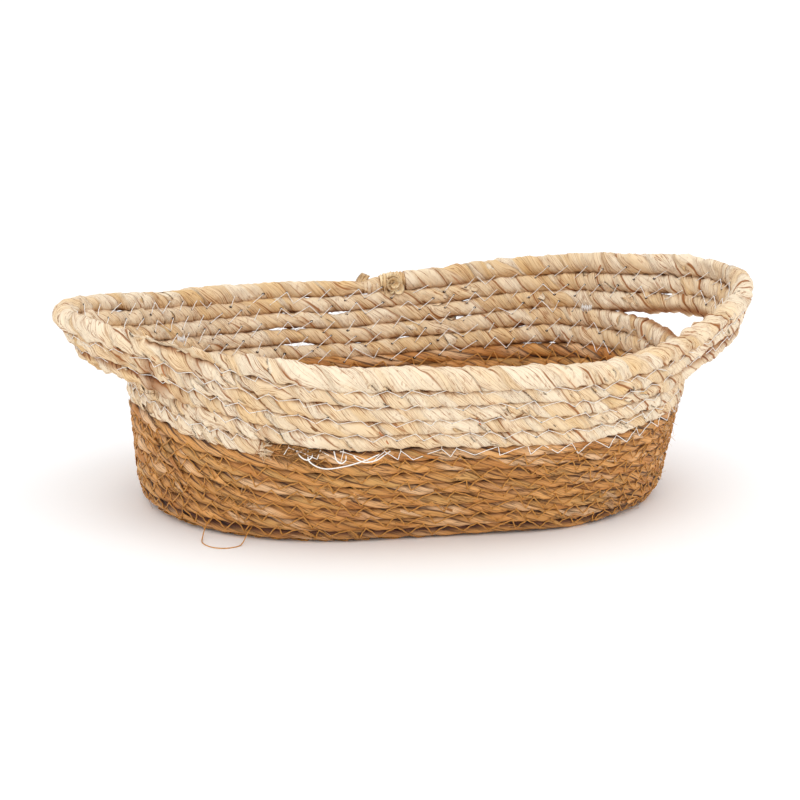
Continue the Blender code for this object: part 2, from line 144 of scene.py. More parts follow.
# Crumples grow towards the basket's ends only in front of this depth
CRUMPLE_DEPTH = 0.05
# Place of one strip's texture beside the next one's, in strips
STRIP_APART = 3
# Length of a rope's closed end, in radii
CAP_SHARE = 0.15
# Dents at the needle holes: their rise up the rope's side, half angle, and half length in radii
HOLE_RISE = math.radians(40)
DENT_ANGLE = 0.5
DENT_LENGTH_SHARE = 0.5

# Daylight between two rows: row counted down from the rim, steps clockwise from the back's middle, half
# length in steps, depth
DAYLIGHT = (
    (1, 23.1, 0.22, 0.0013),
    (2, 22.75, 0.15, 0.0012),
    (2, 23.55, 0.25, 0.0013),
    (3, 22.8, 0.40, 0.0014),
    (4, 23.0, 0.45, 0.0019),
    (4, 23.85, 0.15, 0.0013),
    (4, 0.55, 0.14, 0.0013),
    (2, 4.0, 0.15, 0.0013),
    (1, 4.3, 0.15, 0.0013),
    (2, 4.9, 0.38, 0.0015),
    (1, 5.9, 0.12, 0.0012),
    (1, 19.5, 0.33, 0.0014),
    (2, 20.0, 0.12, 0.0012),
    (3, 1.4, 0.25, 0.0013),
    (4, 2.35, 0.18, 0.0013),
)
# Where the top row is plumper or thinner than the rest
ROPE_SPOTS = {
    "plump_at_the_left": {"step": 21.5, "half_steps": 0.9, "size": 0.0016},
    "fuller_before_the_binding": {"step": 22.6, "half_steps": 1.3, "size": 0.0008},
    "thin_by_the_binding": {"step": 23.85, "half_steps": 0.40, "size": -0.0013},
}

# Bare brown places in the rope: turn, half length, strength
BROWN_SPOTS = (
    (22.674, 0.006, 0.55),
    (21.6725, 0.010, 0.7),
    (20.600, 0.006, 0.35),
    (22.650, 0.004, 0.3),
    (22.690, 0.004, 0.35),
    (21.655, 0.004, 0.35),
    (23.640, 0.005, 0.3),
    (20.660, 0.004, 0.3),
)

# The thick rim rope as it is wrapped, as shares of its stand-in's radius and in turns
SLIM_RIM = {"back": 1.00, "front": 0.91, "from_turn": 24.13, "over_turns": 0.16, "right": 0.10,
            "right_turn": 24.34, "right_half": 0.08, "tail": 0.10, "tail_end": 0.35}

# Stitches in one round of every seam
STITCHES = 66
# Seams: reach of the holes above and below the groove, thread, unevenness, size of the holes' dark dots,
# which are partly painted shade, seed
HUSK_OUTSIDE = {"up": 0.0030, "down": 0.0024, "diameter": 0.00045, "zigzag": True,
                "loose": 0.45, "proud": 1.12, "hole": 0.00055, "seed": 40}
BOUNDARY = {"up": 0.0012, "down": 0.0052, "diameter": 0.00052, "zigzag": True,
            "loose": 0.6, "proud": 1.08, "seed": 44}
BOUNDARY_LEFT = {"up": -0.0028, "down": -0.0034, "diameter": 0.00045, "zigzag": False,
                 "loose": 0.6, "proud": 1.07, "seed": 46}
BOUNDARY_LEFT_TURNS = 0.20
HUSK_INSIDE = {"up": 0.0042, "down": 0.0042, "diameter": 0.00060, "zigzag": False,
               "loose": 0.35, "proud": 1.13, "hole": 0.00080, "seed": 48}
GRASS_NET = {"up": 0.0043, "down": 0.0043, "diameter": 0.00095, "zigzag": True,
             "loose": 0.5, "proud": 1.20, "seed": 60}
HOLE_SCATTER = 0.3
STITCH_SINK = 0.0016
# Height of a stitch over the straight between its holes, in thread widths, at shares of the way
STITCH_STATIONS = ((0.25, 0.5), (0.5, -0.3), (0.75, 0.5))
# Share of the short stitches that show in a seam of single ones
SECOND_STITCH_SHARE = 0.25
# Needle holes, dark with painted shade and torn rims: corners, a height and how many of it they rise and
# sink, least size, length over width
HOLE = {"corners": 6, "height": 0.00008, "top": 2, "bottom": 3, "least": 0.3, "long": 1.4, "seed": 7}

# How many loose bits a piece has, and the seed of their chance
LOOSE_BITS = {
    "loose_seagrass_blades": (420, 2100),
    "stray_seagrass_fibres": (700, 2200),
    "seagrass_tuft": (90, 2300),
    "husk_strip_ends": (260, 3100),
    "rim_strip_ends": (26, 3200),
    "stray_husk_fibres": (520, 3300),
    "husk_start_fringe": (260, 260),
    "rim_tail_fringe": (26, 26),
    "husk_start_hollow": (110, 4200),
    "hollow_fibres": (60, 4300),
    "right_handle_tuft": (60, 4400),
    "left_wall_tuft": (40, 4500),
}
# Every strip end: points along and round it, least length and lift, change of its width, shade
FLAP = {"points": 9, "around": 6, "least_length": 0.5, "least_lift": 0.2, "least_width": 0.5,
        "width_change": 0.25, "swells": 3, "apart": 900, "shade": 0.25}
# Every fibre: points along and round it, least length, scatter of its way, rise, taper, change of its width
FIBRE = {"points": 8, "around": 4, "least_length": 0.4, "scatter": 0.45, "rise": 1.6, "root": 1.1,
         "taper": 0.8, "least_width": 0.6, "width_change": 0.8, "shade": 0.2}
# Stray fibres: least angle off the rope's outer middle and its spread, place over the rope, slant
STRAY = {"least_angle": 0.25, "angle_spread": 0.75, "over": 1.02, "slant": 0.3}
# Sizes of the strip ends and fibres of each piece
BLADE_ENDS = {"outside_share": 0.8, "angle_spread": 2.0, "length": 0.022, "slant": 0.25, "lift": 0.0018,
              "proud": 0.0005, "width": 0.0056, "thickness": 0.0003, "buried": 0.0014, "taper": 0.85}
HUSK_ENDS = {"outside_share": 0.6, "angle_spread": 2.4, "length": 0.010, "slant": 0.4, "lift": 0.0003,
             "proud": 0.0002, "width": 0.0080, "thickness": 0.0002, "buried": 0.0014, "taper": 0.7}
GRASS_FIBRES = {"outside_share": 0.75, "length": 0.010, "lift": 0.0016, "width": 0.0004}
HUSK_FIBRES = {"outside_share": 0.6, "length": 0.006, "lift": 0.0014, "width": 0.0003}
GRASS_TUFT = {"spread": 0.030, "spread_up": 0.012, "sink": 0.0004, "heading": 1.0, "length": 0.012,
              "lift": 0.003, "width": 0.0006}
HOLLOW = {"spread": 0.026, "spread_up": 0.009, "sink": -0.0008, "heading": 1.0, "length": 0.010,
          "lift": 0.0016, "width": 0.0009}
HUSK_TUFT = {"spread": 0.010, "spread_up": 0.004, "sink": 0.0, "heading": 0.8, "length": 0.008,
             "lift": 0.003, "width": 0.0006}
# Width of a tuft's fan
TUFT_FAN = 1.4
# Fringe at a rope's end: reach over its round, depth of its roots, splay, sizes of its fibres
FRINGE = {"over": 1.02, "root": 0.001, "splay": 0.35, "length": 0.0075, "lift": 0.0016, "width": 0.0011}

LOOSE_THREAD_DIAMETER = 0.0009
LOOSE_THREAD_POINTS = 40
LOOSE_THREAD_AROUND = 6
# Loose white threads: steps on from the husk rope's start, height beside the seam, distance off the ropes
LOOSE_THREADS = (
    ((0.66, -0.0005, 0.0006), (0.69, -0.0065, 0.0012), (0.88, -0.0112, 0.0014), (1.14, -0.0088, 0.0014),
     (1.40, -0.0040, 0.0012), (1.60, -0.0010, 0.0004)),
    ((0.50, -0.0010, 0.0004), (0.58, -0.0040, 0.0010), (0.66, -0.0055, 0.0010), (0.72, -0.0030, 0.0010),
     (0.70, 0.0000, 0.0006), (0.62, 0.0010, 0.0003)),
    ((1.00, 0.0005, 0.0003), (1.04, -0.0040, 0.0010), (1.10, -0.0065, 0.0010), (1.16, -0.0040, 0.0010),
     (1.15, -0.0005, 0.0006), (1.08, 0.0005, 0.0003)),
    ((1.20, 0.0000, 0.0003), (1.30, -0.0030, 0.0008), (1.42, -0.0052, 0.0010), (1.56, -0.0040, 0.0008),
     (1.66, -0.0015, 0.0005), (1.74, 0.0005, 0.0003)),
)

# Rust brown and dark streaks in the husk: turn and height beside the groove at both ends, face
RUST_STREAKS = (
    (23.6910, 0.0060, 23.6890, -0.0060, 1.0), (23.6685, 0.0060, 23.6620, -0.0070, 1.0),
    (21.5400, 0.0060, 21.5340, -0.0044, 1.0), (24.0525, 0.0130, 24.0580, 0.0030, -1.0),
    (22.4890, 0.0030, 22.4860, -0.0032, 1.0), (24.3200, 0.0090, 24.3235, -0.0014, 1.0),
    (19.9880, 0.0080, 19.9895, -0.0010, -1.0), (24.1560, 0.0060, 24.1520, 0.0005, -1.0),
)
DARK_STREAKS = (
    (22.4745, 0.0070, 22.4690, -0.0012, 1.0), (22.4640, 0.0060, 22.4690, -0.0012, 1.0),
    (23.5150, 0.0060, 23.5090, -0.0010, 1.0), (21.5750, 0.0070, 21.5690, 0.0005, 1.0),
    (22.6900, 0.0060, 22.6830, -0.0040, 1.0), (22.6600, 0.0050, 22.6520, -0.0060, 1.0),
    (21.6900, 0.0070, 21.6820, -0.0030, 1.0), (21.6400, 0.0060, 21.6300, -0.0040, 1.0),
    (23.6400, 0.0060, 23.6280, -0.0040, 1.0), (23.6100, 0.0050, 23.5980, -0.0060, 1.0),
    (20.6800, 0.0060, 20.6710, -0.0040, 1.0), (20.6500, 0.0060, 20.6420, 0.0000, 1.0),
)
STREAK_SIZES = {"proud": 0.0009, "width": 0.0014, "thickness": 0.0002, "points": 16, "around": 6, "end": 0.06}

# Thread of the source: its size, its tacks and its loose loop
THREAD_DIAMETER = 0.0008
CAD_STITCH_REACH = 0.0030
CLEARANCE = 0.0003
TACK_STITCHES = 6
TACK_PITCH = 0.0018
TACK_SET_BACK_STEPS = 0.35
TACK_SCATTER = 0.3
TACK_SEED = 70
TACK_THREAD_SHARE = 0.8
SLACK_LOOP_ROWS_UP = 2
SLACK_LOOP_STEPS = (2.8, 3.6)
SLACK_LOOP_REACH = 0.028
SLACK_LOOP_POINTS = 32
SLACK_LOOP_AROUND = 8
SLACK_LOOP_SQUARENESS = 0.7
SLACK_LOOP_LEAN_SHARE = 0.15
SLACK_LOOP_DROP_REACH = 0.016

# Rolled-up end of the binding: place beside the binding, first radius, growth a round, rounds, start angle
CURL_SCROLLS = (
    ((0.0000, -0.0098, 0.0000), 0.0012, 0.0021, 2.3, 0.6),
    ((0.0030, -0.0108, -0.0042), 0.0020, 0.0022, 1.2, 2.4),
    ((-0.0028, -0.0092, -0.0050), 0.0018, 0.0020, 1.3, 4.4),
)
# Its strip: points along and round it, width and thickness, how far it winds inwards, flare and taper
CURL = {"points": 40, "around": 8, "width": 0.0055, "thickness": 0.0005, "depth": 0.0022, "flare": 1.1,
        "least_flare": 0.3, "taper": 0.35, "hue": 0.3, "shade": 0.05}
CURL_TONES = (0.1, 0.35, 0.2)
CURL_AXIS = np.array([0.1, -1.0, 0.15])
# Strip end that stands up beside the binding: its turn, points, sizes, way up, bend and broad side
STANDING_STRIP = {"turn": 23.9955, "points": 8, "around": 8, "root": 0.002, "height": 0.0095, "width": 0.0095,
                  "thickness": 0.0004, "tone": 0.05, "hue": 0.4}
STANDING_WAY = np.array([0.12, -0.25, 1.0])
STANDING_BEND = np.array([0.30, -0.1, -0.10])
STANDING_SIDE = np.array([1.0, 0.15, 0.1])
# Wound strips: length and height of a wrap, how far its foot lies in the stand-in, seed
BINDING_WRAPS = {"pitch": 0.0027, "depth": 0.0011, "sunk": 0.0021, "seed": 5100}
BOUND_WRAPS = {"pitch": 0.0030, "depth": 0.0006, "sunk": 0.0003, "seed": 5200}
# Every wound strip: mesh, wander of its edge, slimmer ends, power of its bulge, crumple, shades
WRAP = {"spacing": 0.0004, "around": 48, "wander": 0.25, "wander_rate": 0.7, "wander_knot": 0.5, "end": 0.20,
        "end_wraps": 2, "power": 0.6, "crumple": 0.35, "crumple_wave": 0.006, "shades": 256, "hue_shift": 40,
        "line": 0.14}
# Turns by which the wound strips overlap, and which the zone bound beside the binding takes
WRAP_OVERLAP = 0.001
BOUND_ZONE = 0.010

# Run of the floor's rope before the winding's start, which fills the floor's middle, and its length a turn
FLOOR_HEART = 0.0565
FLOOR_RUN_PER_TURN = 1.275
# The wall's seagrass rope is one rope in three pieces, to keep each mesh small
WALL_ROPES = ("lower_wall_rope", "middle_wall_rope", "upper_wall_rope")

# Noises of the materials: width and length of a feature along a strip, and detail
HUSK_NOISES = {
    # Ribs of the husk, half a millimetre apart
    "ribs": (0.0008, 0.020, 3.0),
    # Wrinkles along the strip, two to three millimetres apart
    "wrinkles": (0.0024, 0.045, 2.0),
    # Sun-bleached and tan patches, a strip wide
    "patches": (0.011, 0.040, 2.0),
    # Rust streaks, few and narrow
    "streaks": (0.0035, 0.030, 2.0),
    # Crepe, two to four millimetres across
    "crepe": (0.0040, 0.0026, 2.0),
}
GRASS_NOISES = {
    # Veins of the blade, under half a millimetre apart and drawn a little coarser to show
    "veins": (0.0007, 0.022, 3.0),
    # Folds along the blade
    "folds": (0.0022, 0.040, 2.0),
    # Patches where a blade is darker or bleached
    "patches": (0.008, 0.050, 2.0),
}
# Masks of the materials: range of the value, and the mask at both ends of it
HUSK_MASKS = {
    "tan": (0.0, 1.0, 0.0, 1.0), "ribs": (0.50, 0.70, 0.0, 0.42), "ribs_by_tone": (0.3, 0.8, 0.3, 1.0),
    "wrinkles_by_patch": (0.30, 0.55, 0.35, 0.95), "rust": (0.66, 0.74, 0.0, 0.75),
    "rust_by_hue": (0.55, 0.8, 0.0, 1.0), "lap": (0.12, 0.8, 0.0, 0.95), "groove": (0.0, 0.75, 0.95, 0.0),
    "fresh": (0.35, 0.75, 1.0, 0.25), "flecks": (0.60, 0.70, 0.0, 0.45), "rough": (0.2, 0.8, 0.5, 0.75),
}
GRASS_MASKS = {
    "brown": (0.0, 1.0, 0.0, 1.0), "green": (0.62, 0.85, 0.0, 0.7), "green_by_patch": (0.3, 0.6, 0.3, 1.0),
    "pale": (0.12, 0.28, 0.8, 0.0), "veins": (0.48, 0.75, 0.0, 0.5), "lap": (0.05, 0.7, 0.0, 0.95),
    "groove": (0.0, 0.9, 1.0, 0.0), "rough": (0.2, 0.8, 0.45, 0.75),
}
# Skins: weights of tone and patches, shift of their sum, fine lines' width, ribs' share of the bump
HUSK_SKIN = {"tone": 0.9, "patches": 0.9, "shift": -0.62, "line": 0.024, "ribs": 0.35, "bump": 1.0,
             "bump_height": 0.0012, "roughness": 0.62, "ior": 1.45}
GRASS_SKIN = {"tone": 0.9, "patches": 0.9, "shift": -0.55, "line": 0.028, "line_strength": 0.8, "veins": 0.35,
              "bump": 0.9, "bump_height": 0.0009, "roughness": 0.6, "ior": 1.45}
THREAD_SKIN = {"plies": 160.0, "distortion": 1.5, "shade": (0.0, 0.6, 0.3, 0.0), "bump": 0.4,
               "bump_height": 0.0001, "roughness": 0.45, "ior": 1.5}
FIBRE_SKIN = {"specks": 1500.0, "roughness": 0.85, "ior": 1.4}
PAPER_SKIN = {"clouds": 1.5, "range": (0.3, 0.7, 0.0, 1.0), "roughness": 0.9, "ior": 1.4}
NOISE_DETAIL = 2.0
NOISE_ROUGHNESS = 0.55

# Colours that the panel doesn't change, sRGB hex
# The groove colours are painted shade, multiplied in where two rows press on each other
HUSK_GROOVE_SHADE = "A8763E"
GRASS_GROOVE_SHADE = "5E3616"
GOLD = {"cream": "FBE6BC", "tan": "EBC488", "shade": "9C6424", "groove": "DDB67C"}
WHITE_PLY = "E6DFD2"
BROWN_PLY = "7A5222"
# Colours of dark bits: the needle holes' and the hollow's fibres are partly painted shade, the stains are the
# husk's own
STAIN_AND_SHADE_COLOURS = {
    "torn_fibre": ("6B4420", "A87840"),
    "needle_hole": ("2A190C", "4A2F18"),
    "rust_stain": ("B4683A", "CB8A58"),
    "dark_stain": ("6E4420", "9A6A3A"),
}
PAPER_COLOURS = ("FEFEFE", "FCFCFB")
AIR_COLOUR = "FBFCFF"

# Studio
SENSOR_WIDTH = 36.0
CLIP_START = 0.05
CLIP_END = 100.0
LIGHT_TARGET = (0, 0, 0.05)
FLOOR_REACH = 20.0
WORLD_STRENGTH = 1.12
STUDIO_LIGHTS = (
    ("key_softbox", (-1.1, -2.3, 1.6), 1.4, 6.4, "FFFAF0"),
    ("fill_softbox", (1.8, -1.8, 0.9), 1.8, 5.0, "FFFFFF"),
    ("top_softbox", (0.3, -0.9, 2.4), 1.6, 7.0, "FFFFFF"),
)


# Smooth wander and chance, always the same

def ease(share):
    """Smooth step from 0 to 1."""
    share = np.clip(share, 0.0, 1.0)
    return share * share * (3 - 2 * share)


def hump(off, half):
    """Squared cosine: 1 at no distance off, and 0 from half on."""
    return np.cos(np.clip(off / half, -1, 1) * math.pi / 2) ** 2


def chance(seed, count):
    """Evenly spread numbers from 0 to 1, the same at each run."""
    return np.random.default_rng(seed).random(count)


def wander(place, spacing, seed):
    """Values from -1 to 1 at knots this far apart, with a smooth step between each two."""
    place = np.asarray(place, float) / spacing
    knot = np.floor(place).astype(int)
    values = chance(seed, KNOTS) * 2 - 1
    low = values[knot % KNOTS]
    high = values[(knot + 1) % KNOTS]
    return low + (high - low) * ease(place - knot)


def swell(points, wavelength, seed):
    """Sum of plane waves in space, so rows that lie side by side swing together."""
    numbers = np.random.default_rng(seed)
    waves = numbers.normal(size=(PLANE_WAVES, 3))
    waves *= FULL_TURN / wavelength / np.linalg.norm(waves, axis=1)[:, None]
    phases = numbers.random(PLANE_WAVES) * FULL_TURN
    return np.sin(points @ waves.T + phases).sum(axis=-1) / math.sqrt(PLANE_WAVES)


def unit(vectors):
    """Vectors of length 1."""
    return vectors / np.linalg.norm(vectors, axis=-1, keepdims=True)


# The winding's middle line

def plan_place(turn):
    """Plan angle of the row's outward side, and the place along the core from -1 to 1."""
    half_turns = np.floor(2 * turn)
    steps = (2 * turn - half_turns) * STEPS_PER_TURN / 2
    arc_steps = STEPS_PER_TURN / 2 - 2 * STRAIGHT_STEPS
    side = 1 - 2 * (half_turns % 2)
    angle = math.pi / 2 - math.pi * np.clip((steps - STRAIGHT_STEPS) / arc_steps, 0, 1)
    along = np.clip(np.minimum(steps, STEPS_PER_TURN / 2 - steps) / STRAIGHT_STEPS, 0, 1)
    return angle + math.pi * (side < 0), along * side


def wall_arc(turn):
    """Length up the wall's section from the floor's edge to the row at this turn."""
    angle, _ = plan_place(turn)
    half_turns = np.floor(2 * turn)
    away = 2 * (half_turns % 2) - 1
    wound = (half_turns + (1 + away * np.sin(angle)) / 2) / 2
    start_arc = SEAGRASS_PITCH * (wound - FLOOR_TURNS)
    husk_turns = turn - HUSK_START
    rows = np.floor(husk_turns)
    climb = ease((husk_turns - rows - CLIMB_START_SHARE) / (1 - CLIMB_START_SHARE))
    lower = start_arc - SEAGRASS_PITCH * (rows + 1) + (SEAGRASS_PITCH + HUSK_PITCH) / 2
    husk_arc = lower + HUSK_PITCH * rows + (HUSK_PITCH - SEAGRASS_PITCH) * climb
    return np.where(husk_turns < 0, start_arc, husk_arc)


def handle_sum(angle, size):
    """One size of the handle bows at a plan angle: a squared cosine over each bow's half width."""
    total = np.zeros_like(angle)
    for handle in HANDLES.values():
        off = (angle - handle["middle"] + math.pi) % FULL_TURN - math.pi
        total += hump(off, handle["half"]) * handle[size]
    return total


def hump_sum(turn):
    """Rise of the rim over its even sweep: a squared cosine over each hump's half width."""
    step = (turn % 1) * STEPS_PER_TURN
    total = np.zeros_like(step)
    for place in RIM_HUMPS.values():
        off = (step - place["middle_step"] + STEPS_PER_TURN / 2) % STEPS_PER_TURN - STEPS_PER_TURN / 2
        total += hump(off, place["half_steps"]) * place["rise"]
    return total


def floor_point(turn):
    """Middle of the rope on the floor: half circles about two middles, joined by straights."""
    angle, along = plan_place(turn)
    half_turns = np.floor(2 * turn)
    side = 1 - 2 * (half_turns % 2)
    radius = SEAGRASS_PITCH * (half_turns + 1) / 2
    x = CORE_HALF_LENGTH * along + radius * np.cos(angle)
    y = radius * np.sin(angle) - side * SEAGRASS_PITCH / 4
    return np.stack([x, y, np.full_like(x, FLOOR_HEIGHT)], axis=-1)


def wall_point(turn):
    """Middle of the rope on the wall: a bend, then a flared straight, with the handle bows on top."""
    angle, along = plan_place(turn)
    band_row = np.maximum(np.floor(turn - BAND_START), -1)
    level = np.maximum(band_row, 0)
    arc = wall_arc(turn - level)
    flare = END_FLARE + (SIDE_FLARE - END_FLARE) * np.sin(angle) ** 2
    full_bend = math.pi / 2 - flare
    bent = np.clip(arc / WALL_BEND_RADIUS, 0, full_bend)
    rest = np.maximum(arc - WALL_BEND_RADIUS * full_bend, 0)
    offset = FLOOR_RADIUS + np.minimum(arc, 0) + WALL_BEND_RADIUS * np.sin(bent) + rest * np.sin(flare)
    height = FLOOR_HEIGHT + WALL_BEND_RADIUS * (1 - np.cos(bent)) + rest * np.cos(flare)
    in_band = band_row >= 0
    lean = flare + handle_sum(angle, "lean")
    offset += in_band * (handle_sum(angle, "out") + level * HUSK_PITCH * np.sin(lean))
    height += in_band * (handle_sum(angle, "lift") + level * HUSK_PITCH * np.cos(lean))
    share = (arc + level * HUSK_PITCH) / WALL_ARC
    height += share * RIM_END_RISE * np.cos(2 * angle)
    height += share * RIM_TWIST_RISE * np.sin(2 * angle)
    height += share * RIM_BACK_RISE * np.sin(angle)
    height += share * hump_sum(turn)
    x = CORE_HALF_LENGTH * along + offset * np.cos(angle) + share * RIM_SHIFT
    y = (offset - share * RIM_NARROWING) * np.sin(angle)
    return np.stack([x, y, height], axis=-1)


def row_point(turn):
    """Middle of the rope at each turn of the winding."""
    turn = np.asarray(turn, float)
    on_floor = (turn < FLOOR_TURNS)[..., None]
    return np.where(on_floor, floor_point(turn), wall_point(turn)) + WINDING_SHIFT


def row_pitch(turn):
    """Pitch of the rope's rows: that of seagrass, or of husk from its start on."""
    return np.where(turn < HUSK_START, SEAGRASS_PITCH, HUSK_PITCH)


def row_radius(turn):
    """Rope radius: the rows are drawn together or apart, and the rope gives with them."""
    turn = np.asarray(turn, float)
    stretch = np.full(turn.shape, np.inf)
    for other in (turn - 1, turn + 1):
        there = (other >= 0) & (other <= BAND_START + BAND_ROWS)
        plain = (row_pitch(turn) + row_pitch(other)) / 2
        apart = np.linalg.norm(row_point(turn) - row_point(other), axis=-1) / plain
        stretch = np.where(there, np.minimum(stretch, apart), stretch)
    return (stretch * row_pitch(turn) - ROW_GAP) / 2


def rim_radius(turn):
    """The thick rim rope keeps its size, and tapers to its end over the husk rope's start."""
    left = (WINDING_END - turn) / RIM_TAIL_TURNS
    tail = RIM_TAIL_DIAMETER / RIM_ROPE_DIAMETER
    return RIM_ROPE_DIAMETER / 2 * (tail + (1 - tail) * ease(left))


def top_point(turn, radius):
    """Middle of something of this radius that lies on top of the row one turn below."""
    turn = np.asarray(turn, float)
    below = row_point(turn - 1)
    up = unit(row_point(turn) - below)
    return below + up * (row_radius(turn - 1) + radius + ROW_GAP)[..., None]


def row_turn(row, step):
    """Turn at the groove below a row counted down from the rim, at steps clockwise from the back's middle."""
    low = BAND_START + BAND_ROWS - row
    return low + (step / STEPS_PER_TURN - low) % 1


def band_radius(turn):
    """Radius of the handle band's rope, which is plump or thin in places of its top row."""
    turn = np.asarray(turn, float)
    radius = row_radius(turn)
    for spot in ROPE_SPOTS.values():
        off = (turn - row_turn(1, spot["step"])) * STEPS_PER_TURN
        radius = radius + spot["size"] * hump(off, spot["half_steps"])
    return radius


def slim_radius(turn):
    """Radius of the thick rim rope as it is wrapped: under its stand-in's, thin at the right and the tail."""
    turn = np.asarray(turn, float)
    right = np.exp(-((turn - SLIM_RIM["right_turn"]) / SLIM_RIM["right_half"]) ** 2)
    tail = ease((WINDING_END - turn) / SLIM_RIM["tail"])
    onward = ease((turn - SLIM_RIM["from_turn"]) / SLIM_RIM["over_turns"])
    size = SLIM_RIM["back"] + (SLIM_RIM["front"] - SLIM_RIM["back"]) * onward - SLIM_RIM["right"] * right
    return rim_radius(turn) * size * (SLIM_RIM["tail_end"] + (1 - SLIM_RIM["tail_end"]) * tail)


def slim_line(turn):
    """Middle of the thick rim rope as it is wrapped."""
    return top_point(turn, slim_radius(turn))


def binding_line(turn):
    """Middle of the binding."""
    return top_point(turn, BINDING_DIAMETER / 2)


def floor_line(turn):
    """Middle line of the floor's rope: the winding, and before its first turn straight on to the left."""
    before = np.minimum(turn, 0) * FLOOR_RUN_PER_TURN
    return row_point(np.maximum(turn, 0)) + np.stack([before, before * 0, before * 0], axis=-1)


def floor_radius(turn):
    """Radius of the floor's rope, the same before the winding's first turn as at its start."""
    return row_radius(np.maximum(turn, 0))


def turn_at_x(turn, x):
    """Turn on the back straight near a whole turn where the rope passes x."""
    shift = row_point(float(turn))[0]
    return turn + STRAIGHT_STEPS * (x + WINDING_SHIFT[0] - shift) / (CORE_HALF_LENGTH * STEPS_PER_TURN)


def step_at_angle(angle):
    """Step of a turn, from the middle of the back, where the row's side faces a plan angle."""
    arc_steps = STEPS_PER_TURN / 2 - 2 * STRAIGHT_STEPS
    back = (math.pi / 2 - angle) % FULL_TURN
    halves, rest = divmod(back, math.pi)
    return halves * STEPS_PER_TURN / 2 + STRAIGHT_STEPS + arc_steps * rest / math.pi


def hand_hole_turns(side):
    """Turns at which the seam under the handle band stops and goes on, in the order wound."""
    handle = HANDLES[side]
    half = handle["half"] * HAND_HOLE_SHARE
    first = step_at_angle(handle["middle"] + half) / STEPS_PER_TURN
    last = step_at_angle(handle["middle"] - half) / STEPS_PER_TURN
    whole = math.floor(BAND_START)
    while whole + first < BAND_START:
        whole += 1
    stop = whole + first
    go_on = whole + last
    return stop, go_on + 1 if go_on < stop else go_on


BINDING_START = turn_at_x(RIM_START, BINDING_MIDDLE - BINDING_LENGTH / 2)
BINDING_END = turn_at_x(RIM_START, BINDING_MIDDLE + BINDING_LENGTH / 2)
# Stretches of the winding that carry loose strip ends and fibres
BLADE_ROWS = [(FLOOR_TURNS + 0.3, HUSK_START - 0.05)]
GRASS_ROWS = [(FLOOR_TURNS + 0.3, HUSK_START)]
HUSK_ROWS = [(HUSK_START + 0.01, BINDING_START - 0.01)]
RIM_ROWS = [(BINDING_END + 0.01, WINDING_END - 0.08)]
# Tufts: slot, skin, turn and height beside the groove, sizes
TUFTS = {
    "seagrass_tuft": ("seagrass", "twisted_seagrass", row_turn(9, 15.1), 0.001, GRASS_TUFT),
    # Dark fibres at the husk rope's start: partly brown strips, partly painted shade of the hollow where the
    # rope climbs
    "husk_start_hollow": ("seagrass", "torn_fibre", HUSK_START + 0.98, -0.003, HOLLOW),
    "hollow_fibres": ("seagrass", "twisted_seagrass", HUSK_START + 0.985, -0.002, HOLLOW),
    "right_handle_tuft": ("golden_husk_strip", "wound_golden_husk", row_turn(3, 7.7), -0.001, HUSK_TUFT),
    "left_wall_tuft": ("corn_husk", "wrapped_corn_husk", row_turn(4, 16.3), 0.0, HUSK_TUFT),
}


# Sizes and colours that a user would change

def length_setting(name, description, default):
    """Setting for a length in metres."""
    return bpy.props.FloatProperty(name=name, description=description, default=default, subtype="DISTANCE",
                                   unit="LENGTH", precision=5)


def count_setting(name, description, default):
    """Setting for a number of things."""
    return bpy.props.IntProperty(name=name, description=description, default=default, min=1)


def angle_setting(name, description, degrees):
    """Setting for an angle."""
    return bpy.props.FloatProperty(name=name, description=description, default=math.radians(degrees),
                                   subtype="ANGLE", unit="ROTATION")


def colour_setting(name, description, default):
    """Setting for a colour, as sRGB hex."""
    return bpy.props.StringProperty(name=name, description=description, default=default)


class BASKET_PG_husk(bpy.types.PropertyGroup):
    lay: length_setting("Lay", "Length of rope in which a husk strip goes round once", 0.040)
    strips: count_setting("Strips", "Husk strips side by side round the rope", 3)
    lap: length_setting("Lap", "Height of a strip's edge over the strip below", 0.00034)
    puff: length_setting("Puff", "How much a strip bulges between its edges", 0.00045)
    cream: colour_setting("Cream", "Palest husk, sRGB hex", "F5E2C4")
    tan: colour_setting("Tan", "Darkest plain husk, sRGB hex", "E4BA78")
    rust: colour_setting("Rust", "Rust brown streaks in the husk, sRGB hex", "B8733C")
    shade: colour_setting("Shade", "Husk in the laps, sRGB hex", "9C5C1E")


class BASKET_PG_seagrass(bpy.types.PropertyGroup):
    lay: length_setting("Lay", "Length of rope in which a blade goes round once", 0.090)
    blades: count_setting("Blades", "Blades side by side round the rope", 4)
    lap: length_setting("Lap", "Height of a blade's edge over the blade below", 0.00075)
    puff: length_setting("Puff", "How much a blade bulges between its edges", 0.00060)
    tan: colour_setting("Tan", "Common colour of the blades, sRGB hex", "DFA25C")
    brown: colour_setting("Brown", "Darkest blades, sRGB hex", "B57230")
    green: colour_setting("Green", "Greenish blades, sRGB hex", "C69C5C")
    pale: colour_setting("Pale", "Palest blades, sRGB hex", "EDC496")
    shade: colour_setting("Shade", "Blades in the laps, sRGB hex", "4E2A0C")


class BASKET_PG_thread(bpy.types.PropertyGroup):
    white: colour_setting("White", "Thread of the husk rows, sRGB hex", "FFFDF8")
    brown: colour_setting("Brown", "Thread of the seagrass rows, sRGB hex", "C98C3E")


